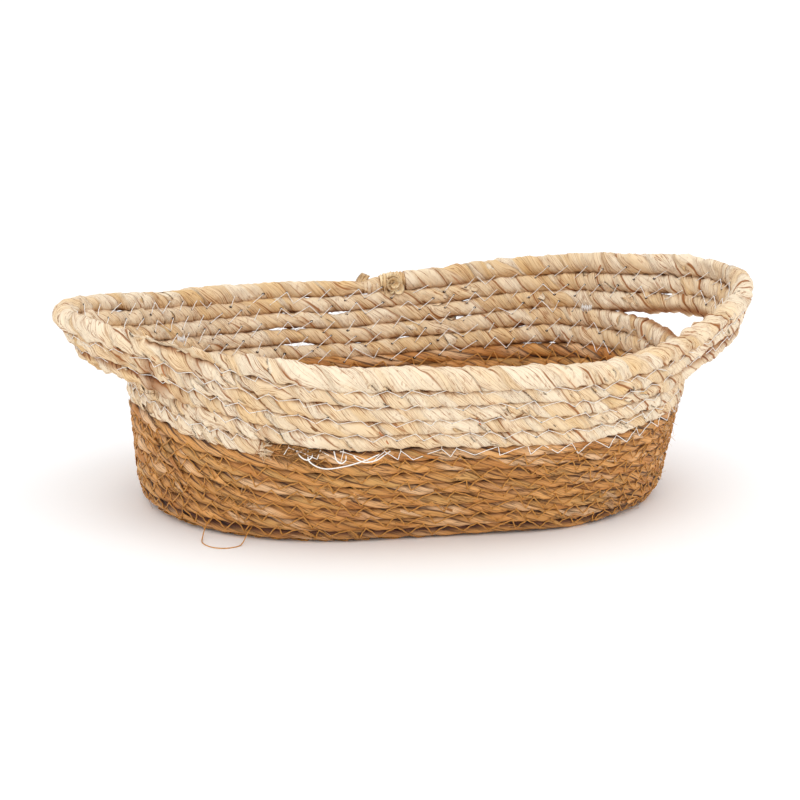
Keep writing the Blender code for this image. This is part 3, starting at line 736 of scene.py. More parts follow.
class BASKET_PG_camera(bpy.types.PropertyGroup):
    azimuth: angle_setting("Azimuth", "Camera's turn round the basket, to the left of its front", -10.66)
    elevation: angle_setting("Elevation", "Camera's height above the horizon", 12.85)
    distance: length_setting("Distance", "Camera to the basket's middle", 1.900)
    aim_height: length_setting("Aim height", "Height of the point the camera looks at", 0.0677)
    lens: bpy.props.FloatProperty(name="Lens", description="Focal length in millimetres on a 36 mm sensor",
                                  default=117.6)


# Surfaces

def link_piece(name, data, nodes):
    """Object for a finished mesh, which rides on the one body and stands for CAD nodes."""
    piece = bpy.data.objects.new(name, data)
    bpy.context.scene.collection.objects.link(piece)
    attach(piece, "root")
    if nodes:
        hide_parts(*nodes)
    return piece


def mesh_of(name, points, faces, skin, uv=None, strip=None):
    """Mesh from points and faces, all as arrays, with a UV for each face corner and a strip value.

    No point lies under the ground.
    """
    points[:, 2] = np.maximum(points[:, 2], 0.0)
    data = bpy.data.meshes.new(name)
    data.from_pydata(points.tolist(), [], [face for block in faces for face in block.tolist()])
    if uv is not None:
        layer = data.uv_layers.new(name="rope")
        layer.uv.foreach_set("vector", uv.astype(np.float32).ravel())
    if strip is not None:
        layer = data.attributes.new("strip", "FLOAT_COLOR", "POINT")
        layer.data.foreach_set("color", strip.astype(np.float32).ravel())
    data.polygons.foreach_set("use_smooth", np.ones(len(data.polygons), bool))
    data.materials.append(skin)
    data.validate()
    data.update()
    return data


def tube_faces(rings, around):
    """Quads of a tube whose points run ring by ring, then round, facing outwards."""
    ring = np.arange(rings - 1)[:, None] * around
    here = np.arange(around)[None, :]
    after = (here + 1) % around
    return np.stack([ring + here, ring + after, ring + around + after, ring + around + here], axis=-1)


def cap_faces(first, around, centre, at_end):
    """Fan of triangles that closes a tube's end on its middle point."""
    here = first + np.arange(around)
    after = first + (np.arange(around) + 1) % around
    middle = np.full(around, centre)
    if at_end:
        return np.stack([here, after, middle], axis=-1)
    return np.stack([after, here, middle], axis=-1)


def path_frames(line):
    """Unit tangent, and two directions across it that turn right-handed about it, the first upwards."""
    tangent = unit(np.gradient(line, axis=0))
    flat = np.abs(tangent @ UP)[:, None] > STEEP
    reference = np.where(flat, np.array([0.0, 1.0, 0.0]), UP)
    first = unit(reference - tangent * (reference * tangent).sum(axis=1)[:, None])
    return tangent, first, np.cross(tangent, first)


def length_along(line):
    """Length from the line's start to each of its points."""
    runs = np.linalg.norm(np.diff(line, axis=0), axis=1)
    return np.concatenate([[0.0], np.cumsum(runs)])


def even_turns(start, end, spacing, middle_line):
    """Turns at even lengths along the rope."""
    fine = np.linspace(start, end, int((end - start) * SAMPLES_PER_TURN) + 2)
    along = length_along(middle_line(fine))
    count = int(along[-1] / spacing) + 2
    return np.interp(np.linspace(0, along[-1], count), along, fine)


def stitch_dents(turn, rise, radius):
    """Share from 0 to 1 to which stitches pull the rope in: a round dent about each needle hole.

    The hole in the upper groove's side lies at whole stitches, the one in the lower groove's side
    halfway between, and each is some way up or down from the rope's outer or inner middle.
    """
    holes = turn * STITCHES
    run = np.linalg.norm(row_point(turn + 1.0 / STITCHES) - row_point(turn), axis=1)
    share = np.zeros_like(rise)
    for side, off in ((1, np.abs((holes + 0.5) % 1 - 0.5)), (-1, np.abs(holes % 1 - 0.5))):
        for centre in (side * HOLE_RISE, side * (math.pi - HOLE_RISE)):
            gap = (rise - centre + math.pi) % FULL_TURN - math.pi
            near = (gap / DENT_ANGLE) ** 2 + (off * run / (DENT_LENGTH_SHARE * radius))[:, None] ** 2
            share += np.exp(-near)
    return share


def daylight_dents(turn, rise):
    """How far a rope draws back from its neighbours where daylight shows between two rows.

    It is a squared cosine along the row, times the sine of the place round the rope, cubed, so that
    only the side towards the other row draws back.
    """
    depth = np.zeros_like(rise)
    for row, step, half_steps, size in DAYLIGHT:
        upper = row_turn(row, step)
        for own, side in ((upper, -1.0), (upper - 1, 1.0)):
            drawn = hump((turn - own) * STEPS_PER_TURN, half_steps) * size
            depth += drawn[:, None] * np.clip(np.sin(rise) * side, 0, 1) ** 3
    return depth


def by_strip(along, spacing, seed, strips):
    """Wander along the rope, a column for each strip."""
    return np.stack([wander(along, spacing, seed + index) for index in range(strips)], axis=1)


def round_about(angle, first, second):
    """Unit ways at angles round a line, from two directions across it."""
    return np.cos(angle)[..., None] * first + np.sin(angle)[..., None] * second


def corner_values(left, right, low, high):
    """Values at the corners of a tube's quads: one goes round the tube, the other along it."""
    left, right, low, high = np.broadcast_arrays(left, right, low, high)
    return np.stack([left, right, right, left], axis=-1), np.stack([low, low, high, high], axis=-1)


def closed_tube(name, nodes, skin, points, ends, uv, values):
    """Piece of one tube, its points ring by ring, closed on a middle point at each end."""
    rings, around, _ = points.shape
    count = rings * around
    faces = [tube_faces(rings, around).reshape(-1, 4), cap_faces(0, around, count, False),
             cap_faces(count - around, around, count + 1, True)]
    points = np.concatenate([points.reshape(-1, 3), ends])
    values = np.concatenate([values.reshape(-1, 4), values[0, :1], values[-1, :1]])
    uv = np.concatenate([np.stack(uv, axis=-1).reshape(-1, 2), np.zeros((2 * around * 3, 2))])
    return link_piece(name, mesh_of(name, points, faces, skin, uv, values), nodes)


def strip_columns(columns, strips):
    """Place of each column of points across its strip, its width as a share of the strip, and its strip."""
    rest = np.linspace(LAP_COLUMNS[-1], 1, columns, endpoint=False)[1:]
    places = np.concatenate([[0.0], LAP_COLUMNS, rest])
    widths = np.diff(np.append(places, 1.0))
    return np.tile(places, strips), np.tile(widths, strips), np.repeat(np.arange(strips), len(places))


def strip_angles(along, place, strip_of, look, seed):
    """Angles of the columns round the rope: wandering edges, and a full turn for each lay of length."""
    strips = look["strips"]
    edge = by_strip(along, look["edge_wave"], seed + SEEDS["edge"], strips)
    edge = (np.arange(strips) + look["edge_wander"] * edge) / strips
    next_edge = np.concatenate([edge[:, 1:], edge[:, :1] + 1], axis=1)
    angle = (edge[:, strip_of] + (next_edge - edge)[:, strip_of] * place) * FULL_TURN
    twist = along + look["lay_wander"] * wander(along, look["lay_wave"], seed + SEEDS["twist"])
    return angle + (FULL_TURN * twist / look["lay"])[:, None]


def strip_heights(along, place, strip_of, laps, look, seed):
    """Height of the strips over the rope's round.

    It is a bulge, a power of a sine across the strip, plus a lap that falls from the strip's raised
    edge to nothing, plus folds, which are sines across the strip.
    """
    puffs = 1 + PUFF["change"] * by_strip(along, look["puff_wave"], seed + SEEDS["puff"], look["strips"])
    heights = look["puff"] * puffs[:, strip_of] * (np.sin(math.pi * place) ** PUFF["power"] - PUFF["sunk"])
    fall = np.where(place == 0, 0.0, (1 - place) ** LAP["power"])
    heights += look["lap"] * np.clip(laps, LAP["least"], LAP["most"])[:, strip_of] * fall
    for index in range(look["folds"]):
        shift = wander(along, look["fold_wave"], seed + SEEDS["fold_shift"] + index)[:, None]
        spacing = look["fold_wave"] * FOLD["size_wave"]
        size = wander(along, spacing, seed + SEEDS["fold_size"] + index)[:, None]
        phase = place * (index + FOLD["waves"]) + strip_of * FOLD["strip_shift"] + FOLD["wander"] * shift
        fold = np.clip(size, 0, 1) * np.sin(phase * FULL_TURN) * np.sin(math.pi * place) ** FOLD["power"]
        heights += fold * look["fold"]
    return heights


def strip_shades(turn, line, along, place, strip_of, rise, laps, pressed, ends, look, seed):
    """Tone, hue, lap shade and openness of each point, for the material."""
    strips = look["strips"]
    tone = by_strip(along, look["tone_wave"], seed + SEEDS["tone"], strips)
    hue = by_strip(along, look["tone_wave"] * TONE["hue_wave"], seed + SEEDS["hue"], strips)
    own_tone = chance(seed + SEEDS["own_tone"], strips) - 0.5
    # Painted shade: the strips are tanner towards the back wall, whose inside lies in shade
    inside = np.clip(line[:, 1] / TONE["back_depth"], 0, 1)[:, None] * look["back_shade_tone"]
    tone = tone * TONE["wandering"] + own_tone * TONE["own"] + TONE["middle"] + inside
    # Painted shade along each strip's raised edge and a little along its far edge, stronger where the rope
    # crumples; the brown spots added below are the husk's own colour
    crease = np.exp(-(place / look["line"]) ** 2) + TONE["far_edge"] * np.exp(-(1 - place) / look["line"])
    shade = np.clip(crease, 0, 1) * np.clip(laps, LAP["least"], 1)[:, strip_of] ** look["line_power"]
    shade *= 1 + look["crumple_more"] * ends
    for spot, size, brown in BROWN_SPOTS:
        shade += (np.exp(-((turn - spot) * RUN_PER_TURN / size) ** 2) * brown)[:, None]
    # Painted shade where two rows press on each other: openness, the fourth value, is low there
    shut = np.abs(np.sin(rise)) ** PRESS["shade_power"] * np.where(pressed, 1.0, PRESS["free_shade"])
    return np.stack([tone[:, strip_of], hue[:, strip_of] / 2 + 0.5, np.clip(shade, 0, 1), 1 - shut], axis=-1)


def rope(name, nodes, skin, whole_start, start, end, look, middle_line, radius_line, net):
    """Wrapped or twisted rope.

    A point's angle is its strip's place round the rope plus a full turn for each lay of length, so
    the mesh's long lines follow the strips. Its distance from the middle line is the rope's radius,
    squared off a little, plus the height of the strips, plus a crumple in space that grows towards
    the basket's ends, plus a power of a sine towards the rows that press on it, minus the dents of
    the daylight and of the stitches.
    """
    seed = net["seed"]
    turn = even_turns(start, end, net["spacing"], middle_line)
    line = middle_line(turn)
    radius = radius_line(turn)
    before = length_along(middle_line(np.linspace(whole_start, start, LENGTH_SAMPLES)))[-1]
    along = before + length_along(line)
    tangent, first, second = path_frames(line)
    across = unit(row_point(turn + (turn < 1)) - row_point(turn - (turn >= 1)))
    outward = unit(np.cross(across, tangent))
    for way, swing in ((UP, "swing_up"), (outward, "swing_out")):
        line = line + way * (swell(line, look["swing_wave"], seed + SEEDS[swing])[:, None] * look["swing"])

    place, widths, strip_of = strip_columns(net["columns"], look["strips"])
    angle = strip_angles(along, place, strip_of, look, seed)
    rise = angle - np.arctan2((outward * second).sum(1), (outward * first).sum(1))[:, None]
    laps = by_strip(along, look["puff_wave"], seed + SEEDS["lap"], look["strips"])
    laps = LAP["middle"] + LAP["change"] * laps
    ends = ease((np.abs(line[:, 0]) - look["crumple_from"]) / look["crumple_over"])
    ends = (ends * (line[:, 1] < CRUMPLE_DEPTH))[:, None]
    # A row lies on the upper side too, except in the last round
    pressed = (np.sin(rise) < 0) | (turn < WINDING_END - 1)[:, None]

    lumps = wander(along, look["lump_wave"], seed + SEEDS["lump"])[:, None]
    square = 1 + look["square"] * (1 - np.cos(4 * rise)) / 2
    reach = radius[:, None] * (look["fullness"] + look["lump"] * lumps) * square
    reach += strip_heights(along, place, strip_of, laps, look, seed)
    way = round_about(angle, first[:, None, :], second[:, None, :])
    round_points = line[:, None, :] + way * radius[:, None, None]
    for wave, size in look["crumples"]:
        reach += size * (1 + look["crumple_more"] * ends) * swell(round_points, wave, seed + SEEDS["crumple"])
    reach += look["press"] * np.abs(np.sin(rise)) ** PRESS["power"] * pressed
    reach -= daylight_dents(turn, rise)
    if net["dents"]:
        reach -= net["dents"] * stitch_dents(turn, rise, radius.mean())

    girth = FULL_TURN * radius.mean() / look["strips"]
    left = (place + strip_of * STRIP_APART) * girth
    uv = corner_values(left, left + widths * girth, along[:-1, None], along[1:, None])
    values = strip_shades(turn, line, along, place, strip_of, rise, laps, pressed, ends, look, seed)
    cap = tangent * radius[:, None] * CAP_SHARE
    caps = np.stack([line[0] - cap[0], line[-1] + cap[-1]])
    return closed_tube(name, nodes, skin, line[:, None, :] + way * reach[..., None], caps, uv, values)


def strands(name, nodes, skin, paths, width, thickness, side=None, around=5, values=None):
    """Threads, fibres or blades, each a tube round its own line, and all in one mesh.

    paths holds the points of each strand's line. The ring at each point lies across the line: an
    ellipse as wide as width along side, and as high as thickness across it.
    """
    count, steps, _ = paths.shape
    tangent = unit(np.gradient(paths, axis=1))
    if side is None:
        side = np.broadcast_to(SLANTED, paths.shape)
    reference = unit(side - tangent * (side * tangent).sum(axis=-1, keepdims=True))
    second = np.cross(tangent, reference)
    angle = np.arange(around) / around * FULL_TURN
    wide = np.broadcast_to(width, (count, steps))[:, :, None, None] / 2
    thick = np.broadcast_to(thickness, (count, steps))[:, :, None, None] / 2
    points = paths[:, :, None, :] + np.cos(angle)[:, None] * reference[:, :, None, :] * wide
    points = points + np.sin(angle)[:, None] * second[:, :, None, :] * thick
    firsts = np.arange(count)[:, None] * steps * around
    quads = tube_faces(steps, around).reshape(-1, 4) + firsts[..., None]
    low_ends = firsts + np.arange(around)[::-1]
    high_ends = firsts + (steps - 1) * around + np.arange(around)
    runs = np.cumsum(np.linalg.norm(np.diff(paths, axis=1), axis=2), axis=1)
    along = np.concatenate([np.zeros((count, 1)), runs], axis=1)[..., None]
    # A strand's girth is taken as two widths, and the strands' textures lie a metre apart
    girth = np.arange(around + 1) / around * np.broadcast_to(width, (count, steps)).mean() * 2
    across_uv, along_uv = corner_values(girth[:-1], girth[1:], along[:, :-1], along[:, 1:])
    across_uv = across_uv + np.arange(count)[:, None, None, None]
    uv = np.stack([across_uv, along_uv], axis=-1).reshape(-1, 2)
    uv = np.concatenate([uv, np.zeros((2 * count * around, 2))])
    strip = None if values is None else np.repeat(values, steps * around, axis=0)
    data = mesh_of(name, points.reshape(-1, 3), [quads.reshape(-1, 4), low_ends, high_ends], skin, uv, strip)
    return link_piece(name, data, nodes)


def curved(points, count):
    """Smooth line through points: each span is a cubic that leaves a point along its neighbours' chord."""
    points = np.asarray(points, float)
    padded = np.concatenate([points[:1] * 2 - points[1:2], points, points[-1:] * 2 - points[-2:-1]])
    place = np.linspace(0, len(points) - 1, count)
    span = np.minimum(place.astype(int), len(points) - 2)
    share = (place - span)[:, None]
    before, here, there, after = (padded[span + shift] for shift in range(4))
    here_part = here * (1 + 2 * share) * (1 - share) ** 2 + (there - before) / 2 * share * (1 - share) ** 2
    there_part = there * share ** 2 * (3 - 2 * share) + (after - here) / 2 * share ** 2 * (share - 1)
    return here_part + there_part


def rope_ways(turn, middle_line):
    """Middle of the rope, its tangent, its outward way and the way to the row above."""
    line = middle_line(turn)
    tangent = unit(middle_line(turn + LITTLE_TURN) - middle_line(turn - LITTLE_TURN))
    across = unit(row_point(turn) - row_point(turn - 1))
    outward = unit(np.cross(across, tangent))
    return line, tangent, outward, np.cross(tangent, outward)


def bits_of(name):
    """How many loose bits a piece has, their seed and their chance."""
    count, seed = LOOSE_BITS[name]
    return count, seed, np.random.default_rng(seed)


def bit_values(numbers, count, shade, power):
    """Tone and hue of each loose bit by chance, its shade by a power of chance, and full openness."""
    values = np.ones((count, 4))
    values[:, :2] = numbers.random((count, 2))
    values[:, 2] = shade * numbers.random(count) ** power
    return values


def scattered(numbers, stretches, count):
    """Turns spread by chance over stretches of the winding."""
    pick = numbers.integers(len(stretches), size=count)
    low, high = np.array(stretches)[pick].T
    return low + (high - low) * numbers.random(count)


def either_way(numbers, count):
    """-1 or 1 by chance."""
    return np.where(numbers.random(count) < 0.5, -1.0, 1.0)


def either_face(numbers, count, outside_share):
    """Angles of the rope's outer middle, or by chance of its inner one."""
    return np.where(numbers.random(count) < outside_share, 0.0, math.pi)


def flaps(name, skin, look, stretches, sizes, middle_line, radius_line):
    """Ends of strips that stand off the rope.

    Each follows its strip's helix: its angle grows by a full turn for each lay of length, give or
    take a slant. It rises out of the rope, and its height over it grows with the square of the way to
    its free end. Its width swells and narrows with chance and tapers towards that end.
    """
    count, seed, numbers = bits_of(name)
    starts = scattered(numbers, stretches, count)
    faces = either_face(numbers, count, sizes["outside_share"])
    angles = faces + (numbers.random(count) - 0.5) * sizes["angle_spread"]
    share = np.linspace(0, 1, FLAP["points"])[None, :]
    length = (sizes["length"] * (FLAP["least_length"] + numbers.random(count)))[:, None]
    way_on = either_way(numbers, count)[:, None]
    run = np.linalg.norm(middle_line(starts + NEAR_TURN) - middle_line(starts - NEAR_TURN), axis=-1)[:, None]
    run = run / (2 * NEAR_TURN)
    turn = starts[:, None] + way_on * share * length / run
    slant = sizes["slant"] * (numbers.random(count) * 2 - 1)[:, None]
    angle = angles[:, None] + way_on * share * length * FULL_TURN / look["lay"] * (1 + slant)
    line, _, outward, across = rope_ways(turn, middle_line)
    lift = (sizes["lift"] * (FLAP["least_lift"] + numbers.random(count)) ** 2)[:, None]
    height = radius_line(turn) * look["fullness"] + sizes["proud"] + lift * share ** 2
    height = height - sizes["buried"] * (1 - share) ** 2
    way = round_about(angle, outward, across)
    paths = line + way * height[..., None]
    paths[..., 2] = np.maximum(paths[..., 2], sizes["proud"])
    side = np.cross(way, np.gradient(paths, axis=1))
    width = (sizes["width"] * (FLAP["least_width"] + numbers.random(count)))[:, None]
    swells = wander(share * FLAP["swells"] + starts[:, None] * FLAP["apart"], 1.0, seed + 2)
    width = width * (1 - sizes["taper"] * share ** 2) * (1 + FLAP["width_change"] * swells)
    values = bit_values(numbers, count, FLAP["shade"], 2)
    return strands(name, [], skin, paths, width, sizes["thickness"], side, FLAP["around"], values)


def fibres(name, skin, base, along, out, sizes, seed):
    """Fine torn fibres.

    Each leaves its base along a way of its own and bends to one side with the square of its length,
    and it rises along a parabola and grows thinner towards its end.
    """
    numbers = np.random.default_rng(seed)
    count = len(base)
    share = np.linspace(0, 1, FIBRE["points"])[None, :, None]
    size = (sizes["length"] * (FIBRE["least_length"] + numbers.random(count)))[:, None, None]
    turned = along + numbers.normal(size=(count, 3)) * FIBRE["scatter"]
    heading = unit(turned - out * (turned * out).sum(axis=1, keepdims=True))[:, None, :]
    side = np.cross(out[:, None, :], heading)
    bend = (numbers.random(count) - 0.5)[:, None, None]
    rise = (sizes["lift"] * numbers.random(count))[:, None, None]
    paths = base[:, None, :] + heading * size * share + side * size * bend * share ** 2
    paths = paths + out[:, None, :] * rise * share * (FIBRE["rise"] - share)
    paths[..., 2] = np.maximum(paths[..., 2], sizes["width"])
    thin = sizes["width"] * (FIBRE["root"] - FIBRE["taper"] * share[..., 0])
    thin = thin * (FIBRE["least_width"] + FIBRE["width_change"] * numbers.random(count))[:, None]
    values = bit_values(numbers, count, FIBRE["shade"], 1)
    return strands(name, [], skin, paths, thin, thin, None, FIBRE["around"], values)


def stray_fibres(name, skin, stretches, sizes, middle_line, radius_line):
    """Fibres spread over the ropes, between their outer or inner middles and the grooves."""
    count, seed, numbers = bits_of(name)
    turn = scattered(numbers, stretches, count)
    face = either_face(numbers, count, sizes["outside_share"])
    off = either_way(numbers, count) * (STRAY["least_angle"] + STRAY["angle_spread"] * numbers.random(count))
    line, tangent, outward, across = rope_ways(turn, middle_line)
    way = round_about(face + off, outward, across)
    base = line + way * radius_line(turn)[:, None] * STRAY["over"]
    heading = tangent * either_way(numbers, count)[:, None] + across * STRAY["slant"]
    return fibres(name, skin, base, heading, way, sizes, seed + 1)


def tuft(name):
    """A bunch of fibres that spring from one place beside a groove."""
    slot, skin_name, turn, up, sizes = TUFTS[name]
    count, seed, numbers = bits_of(name)
    turns = turn + (numbers.random(count) - 0.5) * sizes["spread"] / RUN_PER_TURN
    ups = up + (numbers.random(count) - 0.5) * sizes["spread_up"]
    base, out, across, tangent = on_face(turns, ups, sizes["sink"])
    heading = tangent * sizes["heading"] + across * (numbers.random(count) - 0.5)[:, None] * TUFT_FAN
    return fibres(name, skin(skin_name), base, heading, out, sizes, seed + 1)


def fringe(name, end, way_on, middle_line, radius_line):
    """Torn fibres of husk at a rope's end, spread over its round."""
    count, seed, numbers = bits_of(name)
    turn = np.full(count, end)
    line, tangent, outward, across = rope_ways(turn, middle_line)
    way = round_about(numbers.random(count) * FULL_TURN, outward, across)
    away = radius_line(turn) * np.sqrt(numbers.random(count)) * FRINGE["over"]
    base = line + way * away[:, None] - tangent * way_on * FRINGE["root"]
    heading = tangent * way_on + way * FRINGE["splay"]
    return fibres(name, skin("wrapped_corn_husk"), base, heading, way, FRINGE, seed + 1)


def streaks(name, skin, places):
    """Stained veins of the husk: each a thin strip along a straight way over the rope's face."""
    share = np.linspace(0, 1, STREAK_SIZES["points"])
    paths = []
    sides = []
    for turn, up, other_turn, other_up, face in places:
        point, out, _, _ = on_face(turn + (other_turn - turn) * share, up + (other_up - up) * share,
                                   STREAK_SIZES["proud"], face)
        paths.append(point)
        sides.append(np.cross(out, np.gradient(point, axis=0)))
    end = STREAK_SIZES["end"]
    width = STREAK_SIZES["width"] * np.sqrt(np.sin(math.pi * (end + (1 - 2 * end) * share)))
    return strands(name, [], skin, np.stack(paths), width[None], STREAK_SIZES["thickness"],
                   np.stack(sides), STREAK_SIZES["around"])


def wraps(name, nodes, skin, start, end, middle_line, radius, sizes):
    """Strip wound closely round the rope: over each wrap the radius is raised by a power of a sine.

    A wrap is a pitch of length, shifted by one pitch for each turn round the rope. Towards both ends
    the radius shrinks a little, and a crumple in space is added to it.
    """
    radius = radius - sizes["sunk"]
    pitch = sizes["pitch"]
    depth = sizes["depth"]
    turn = even_turns(start, end, WRAP["spacing"], middle_line)
    line = middle_line(turn)
    along = length_along(line)
    tangent, first, second = path_frames(line)
    angle = (np.arange(WRAP["around"]) / WRAP["around"] * FULL_TURN)[None, :]
    phase = along[:, None] / pitch + angle / FULL_TURN
    edge = wander(phase * WRAP["wander_rate"] + angle, WRAP["wander_knot"], sizes["seed"])
    phase = phase + WRAP["wander"] * edge * np.sin(angle / 2) ** 2
    saw = phase % 1
    ends = np.minimum(along, along[-1] - along) / pitch
    slim = 1 - WRAP["end"] + WRAP["end"] * ease(ends / WRAP["end_wraps"])
    reach = radius * slim[:, None] + depth * np.sin(math.pi * saw) ** WRAP["power"]
    way = round_about(angle, first[:, None, :], second[:, None, :])
    points = line[:, None, :] + way * reach[..., None]
    reach = reach + WRAP["crumple"] * depth * swell(points, WRAP["crumple_wave"], sizes["seed"] + 2)
    shades = chance(sizes["seed"] + 3, WRAP["shades"])
    wrap = np.floor(phase).astype(int)
    values = np.ones((*phase.shape, 4))
    values[..., 0] = shades[wrap % WRAP["shades"]]
    values[..., 1] = shades[(wrap + WRAP["hue_shift"]) % WRAP["shades"]]
    # Painted shade along each wrap's lapped edge
    values[..., 2] = np.exp(-saw / WRAP["line"])
    low = angle * radius
    across_uv, along_uv = corner_values(low, low + FULL_TURN / WRAP["around"] * radius, along[:-1, None],
                                        along[1:, None])
    caps = np.stack([line[0] - tangent[0] * depth, line[-1] + tangent[-1] * depth])
    # The strip runs round the rope, so its length lies that way in the texture
    return closed_tube(name, nodes, skin, line[:, None, :] + way * reach[..., None], caps,
                       (along_uv, across_uv), values)


# Materials

def linear(text):
    """sRGB hex to linear colour."""
    shares = np.array([int(text[place:place + 2], 16) / 255 for place in (0, 2, 4)])
    straight = np.where(shares <= 0.04045, shares / 12.92, ((shares + 0.055) / 1.055) ** 2.4)
    return (*straight.tolist(), 1.0)


def add(tree, kind, inputs, **settings):
    """A node with its settings, its input values and its links."""
    made = tree.nodes.new(kind)
    for key, value in settings.items():
        setattr(made, key, value)
    for key, value in inputs.items():
        if isinstance(value, bpy.types.NodeSocket):
            tree.links.new(value, made.inputs[key])
        else:
            made.inputs[key].default_value = value
    return made


def start_material(name, sizes):
    """A material with its nodes, its shader and the even roughness and refraction of these sizes."""
    made = bpy.data.materials.new(name)
    made.use_nodes = True
    shader = made.node_tree.nodes["Principled BSDF"]
    shader.inputs["Roughness"].default_value = sizes["roughness"]
    shader.inputs["IOR"].default_value = sizes["ior"]
    return made, made.node_tree, shader


def stretched_noise(tree, uv, across, along, detail):
    """Noise drawn out along a strip, with features this wide and this long in metres."""
    drawn = add(tree, "ShaderNodeVectorMath", {0: uv, 1: (1 / across, 1 / along, 1.0)}, operation="MULTIPLY")
    return add(tree, "ShaderNodeTexNoise", {"Vector": drawn.outputs[0], "Scale": 1.0, "Detail": detail,
                                            "Roughness": NOISE_ROUGHNESS}).outputs["Fac"]


def even_noise(tree, scale):
    """Noise in the object's own space."""
    place = add(tree, "ShaderNodeTexCoord", {}).outputs["Object"]
    made = add(tree, "ShaderNodeTexNoise", {"Vector": place, "Scale": scale, "Detail": NOISE_DETAIL})
    return made.outputs["Fac"]


def spread(tree, value, low, high, least, most):
    """A value's range from low to high, spread from least to most and held there."""
    ends = {"Value": value, "From Min": low, "From Max": high, "To Min": least, "To Max": most}
    return add(tree, "ShaderNodeMapRange", ends).outputs["Result"]


def sums(tree, operation, first, second, third=0.0):
    """Result of a reckoning with two or three values."""
    return add(tree, "ShaderNodeMath", {0: first, 1: second, 2: third}, operation=operation).outputs[0]


def product(tree, first, second):
    """Two values multiplied."""
    return sums(tree, "MULTIPLY", first, second)


def weighted(tree, value, weight, rest):
    """A value times its weight, plus the rest."""
    return sums(tree, "MULTIPLY_ADD", value, weight, rest)


def mixed(tree, share, first, second, blend="MIX"):
    """Colour mix; inputs 6 and 7 of the node are its colours."""
    made = add(tree, "ShaderNodeMix", {0: share, 6: first, 7: second}, data_type="RGBA", blend_type=blend)
    return made.outputs[2]


def fine_lines(tree, value, width):
    """1 on the lines where a noise passes its middle value, falling to 0 beside them."""
    off = sums(tree, "ABSOLUTE", sums(tree, "SUBTRACT", value, 0.5), 0.0)
    return spread(tree, off, 0.0, width, 1.0, 0.0)


def strip_values(tree):
    """Tone, hue, lap shade and openness of the strips, from the mesh's own attribute, and the rope's UV."""
    strip = add(tree, "ShaderNodeAttribute", {}, attribute_name="strip", attribute_type="GEOMETRY")
    split = add(tree, "ShaderNodeSeparateColor", {"Color": strip.outputs["Color"]})
    uv = add(tree, "ShaderNodeUVMap", {}, uv_map="rope").outputs[0]
    return split.outputs[0], split.outputs[1], split.outputs[2], strip.outputs["Alpha"], uv


def bumped(tree, height, sizes):
    """Bump of these sizes from a height."""
    return add(tree, "ShaderNodeBump", {"Strength": sizes["bump"], "Distance": sizes["bump_height"],
                                        "Height": height}).outputs[0]


def finish_skin(tree, shader, colour, normal=None, rough=None):
    """Links what a skin has worked out to its shader."""
    for key, value in (("Base Color", colour), ("Normal", normal), ("Roughness", rough)):
        if value is not None:
            tree.links.new(value, shader.inputs[key])


def wrapped_corn_husk(name, cream, tan, rust, shade, groove):
    """Dried corn husk, torn in strips and wound on: pale, ribbed lengthways, brown where it laps."""
    made, tree, shader = start_material(name, HUSK_SKIN)
    tone, hue, lap, openness, uv = strip_values(tree)
    noises = [stretched_noise(tree, uv, *sizes) for sizes in HUSK_NOISES.values()]
    ribs, wrinkles, patches, streaks, crepe = noises

    def mask(value, key):
        return spread(tree, value, *HUSK_MASKS[key])

    # Cream to tan patches, with ribs, wrinkles, rust streaks and laps over them
    patched = weighted(tree, patches, HUSK_SKIN["patches"], HUSK_SKIN["shift"])
    share = weighted(tree, tone, HUSK_SKIN["tone"], patched)
    colour = mixed(tree, mask(share, "tan"), linear(cream), linear(tan))
    ribbed = product(tree, mask(ribs, "ribs"), mask(tone, "ribs_by_tone"))
    colour = mixed(tree, ribbed, colour, linear(shade))
    # Fine dark lines along the wrinkles: painted shade in their creases
    lines = product(tree, fine_lines(tree, wrinkles, HUSK_SKIN["line"]), mask(patches, "wrinkles_by_patch"))
    colour = mixed(tree, lines, colour, linear(shade))
    rusty = product(tree, mask(streaks, "rust"), mask(hue, "rust_by_hue"))
    colour = mixed(tree, rusty, colour, linear(rust))
    # Painted shade along the strips' laps, and the husk's own brown spots, from the third value
    colour = mixed(tree, mask(lap, "lap"), colour, linear(shade))
    # Warm shade where two rows press on each other
    colour = mixed(tree, mask(openness, "groove"), colour, linear(groove), "MULTIPLY")
    # Flecks of the crepe, most on the palest strips
    fresh = mask(tone, "fresh")
    colour = mixed(tree, product(tree, mask(crepe, "flecks"), fresh), colour, linear(shade))
    height = weighted(tree, ribs, HUSK_SKIN["ribs"], weighted(tree, crepe, fresh, wrinkles))
    finish_skin(tree, shader, colour, bumped(tree, height, HUSK_SKIN), mask(ribs, "rough"))
    return made


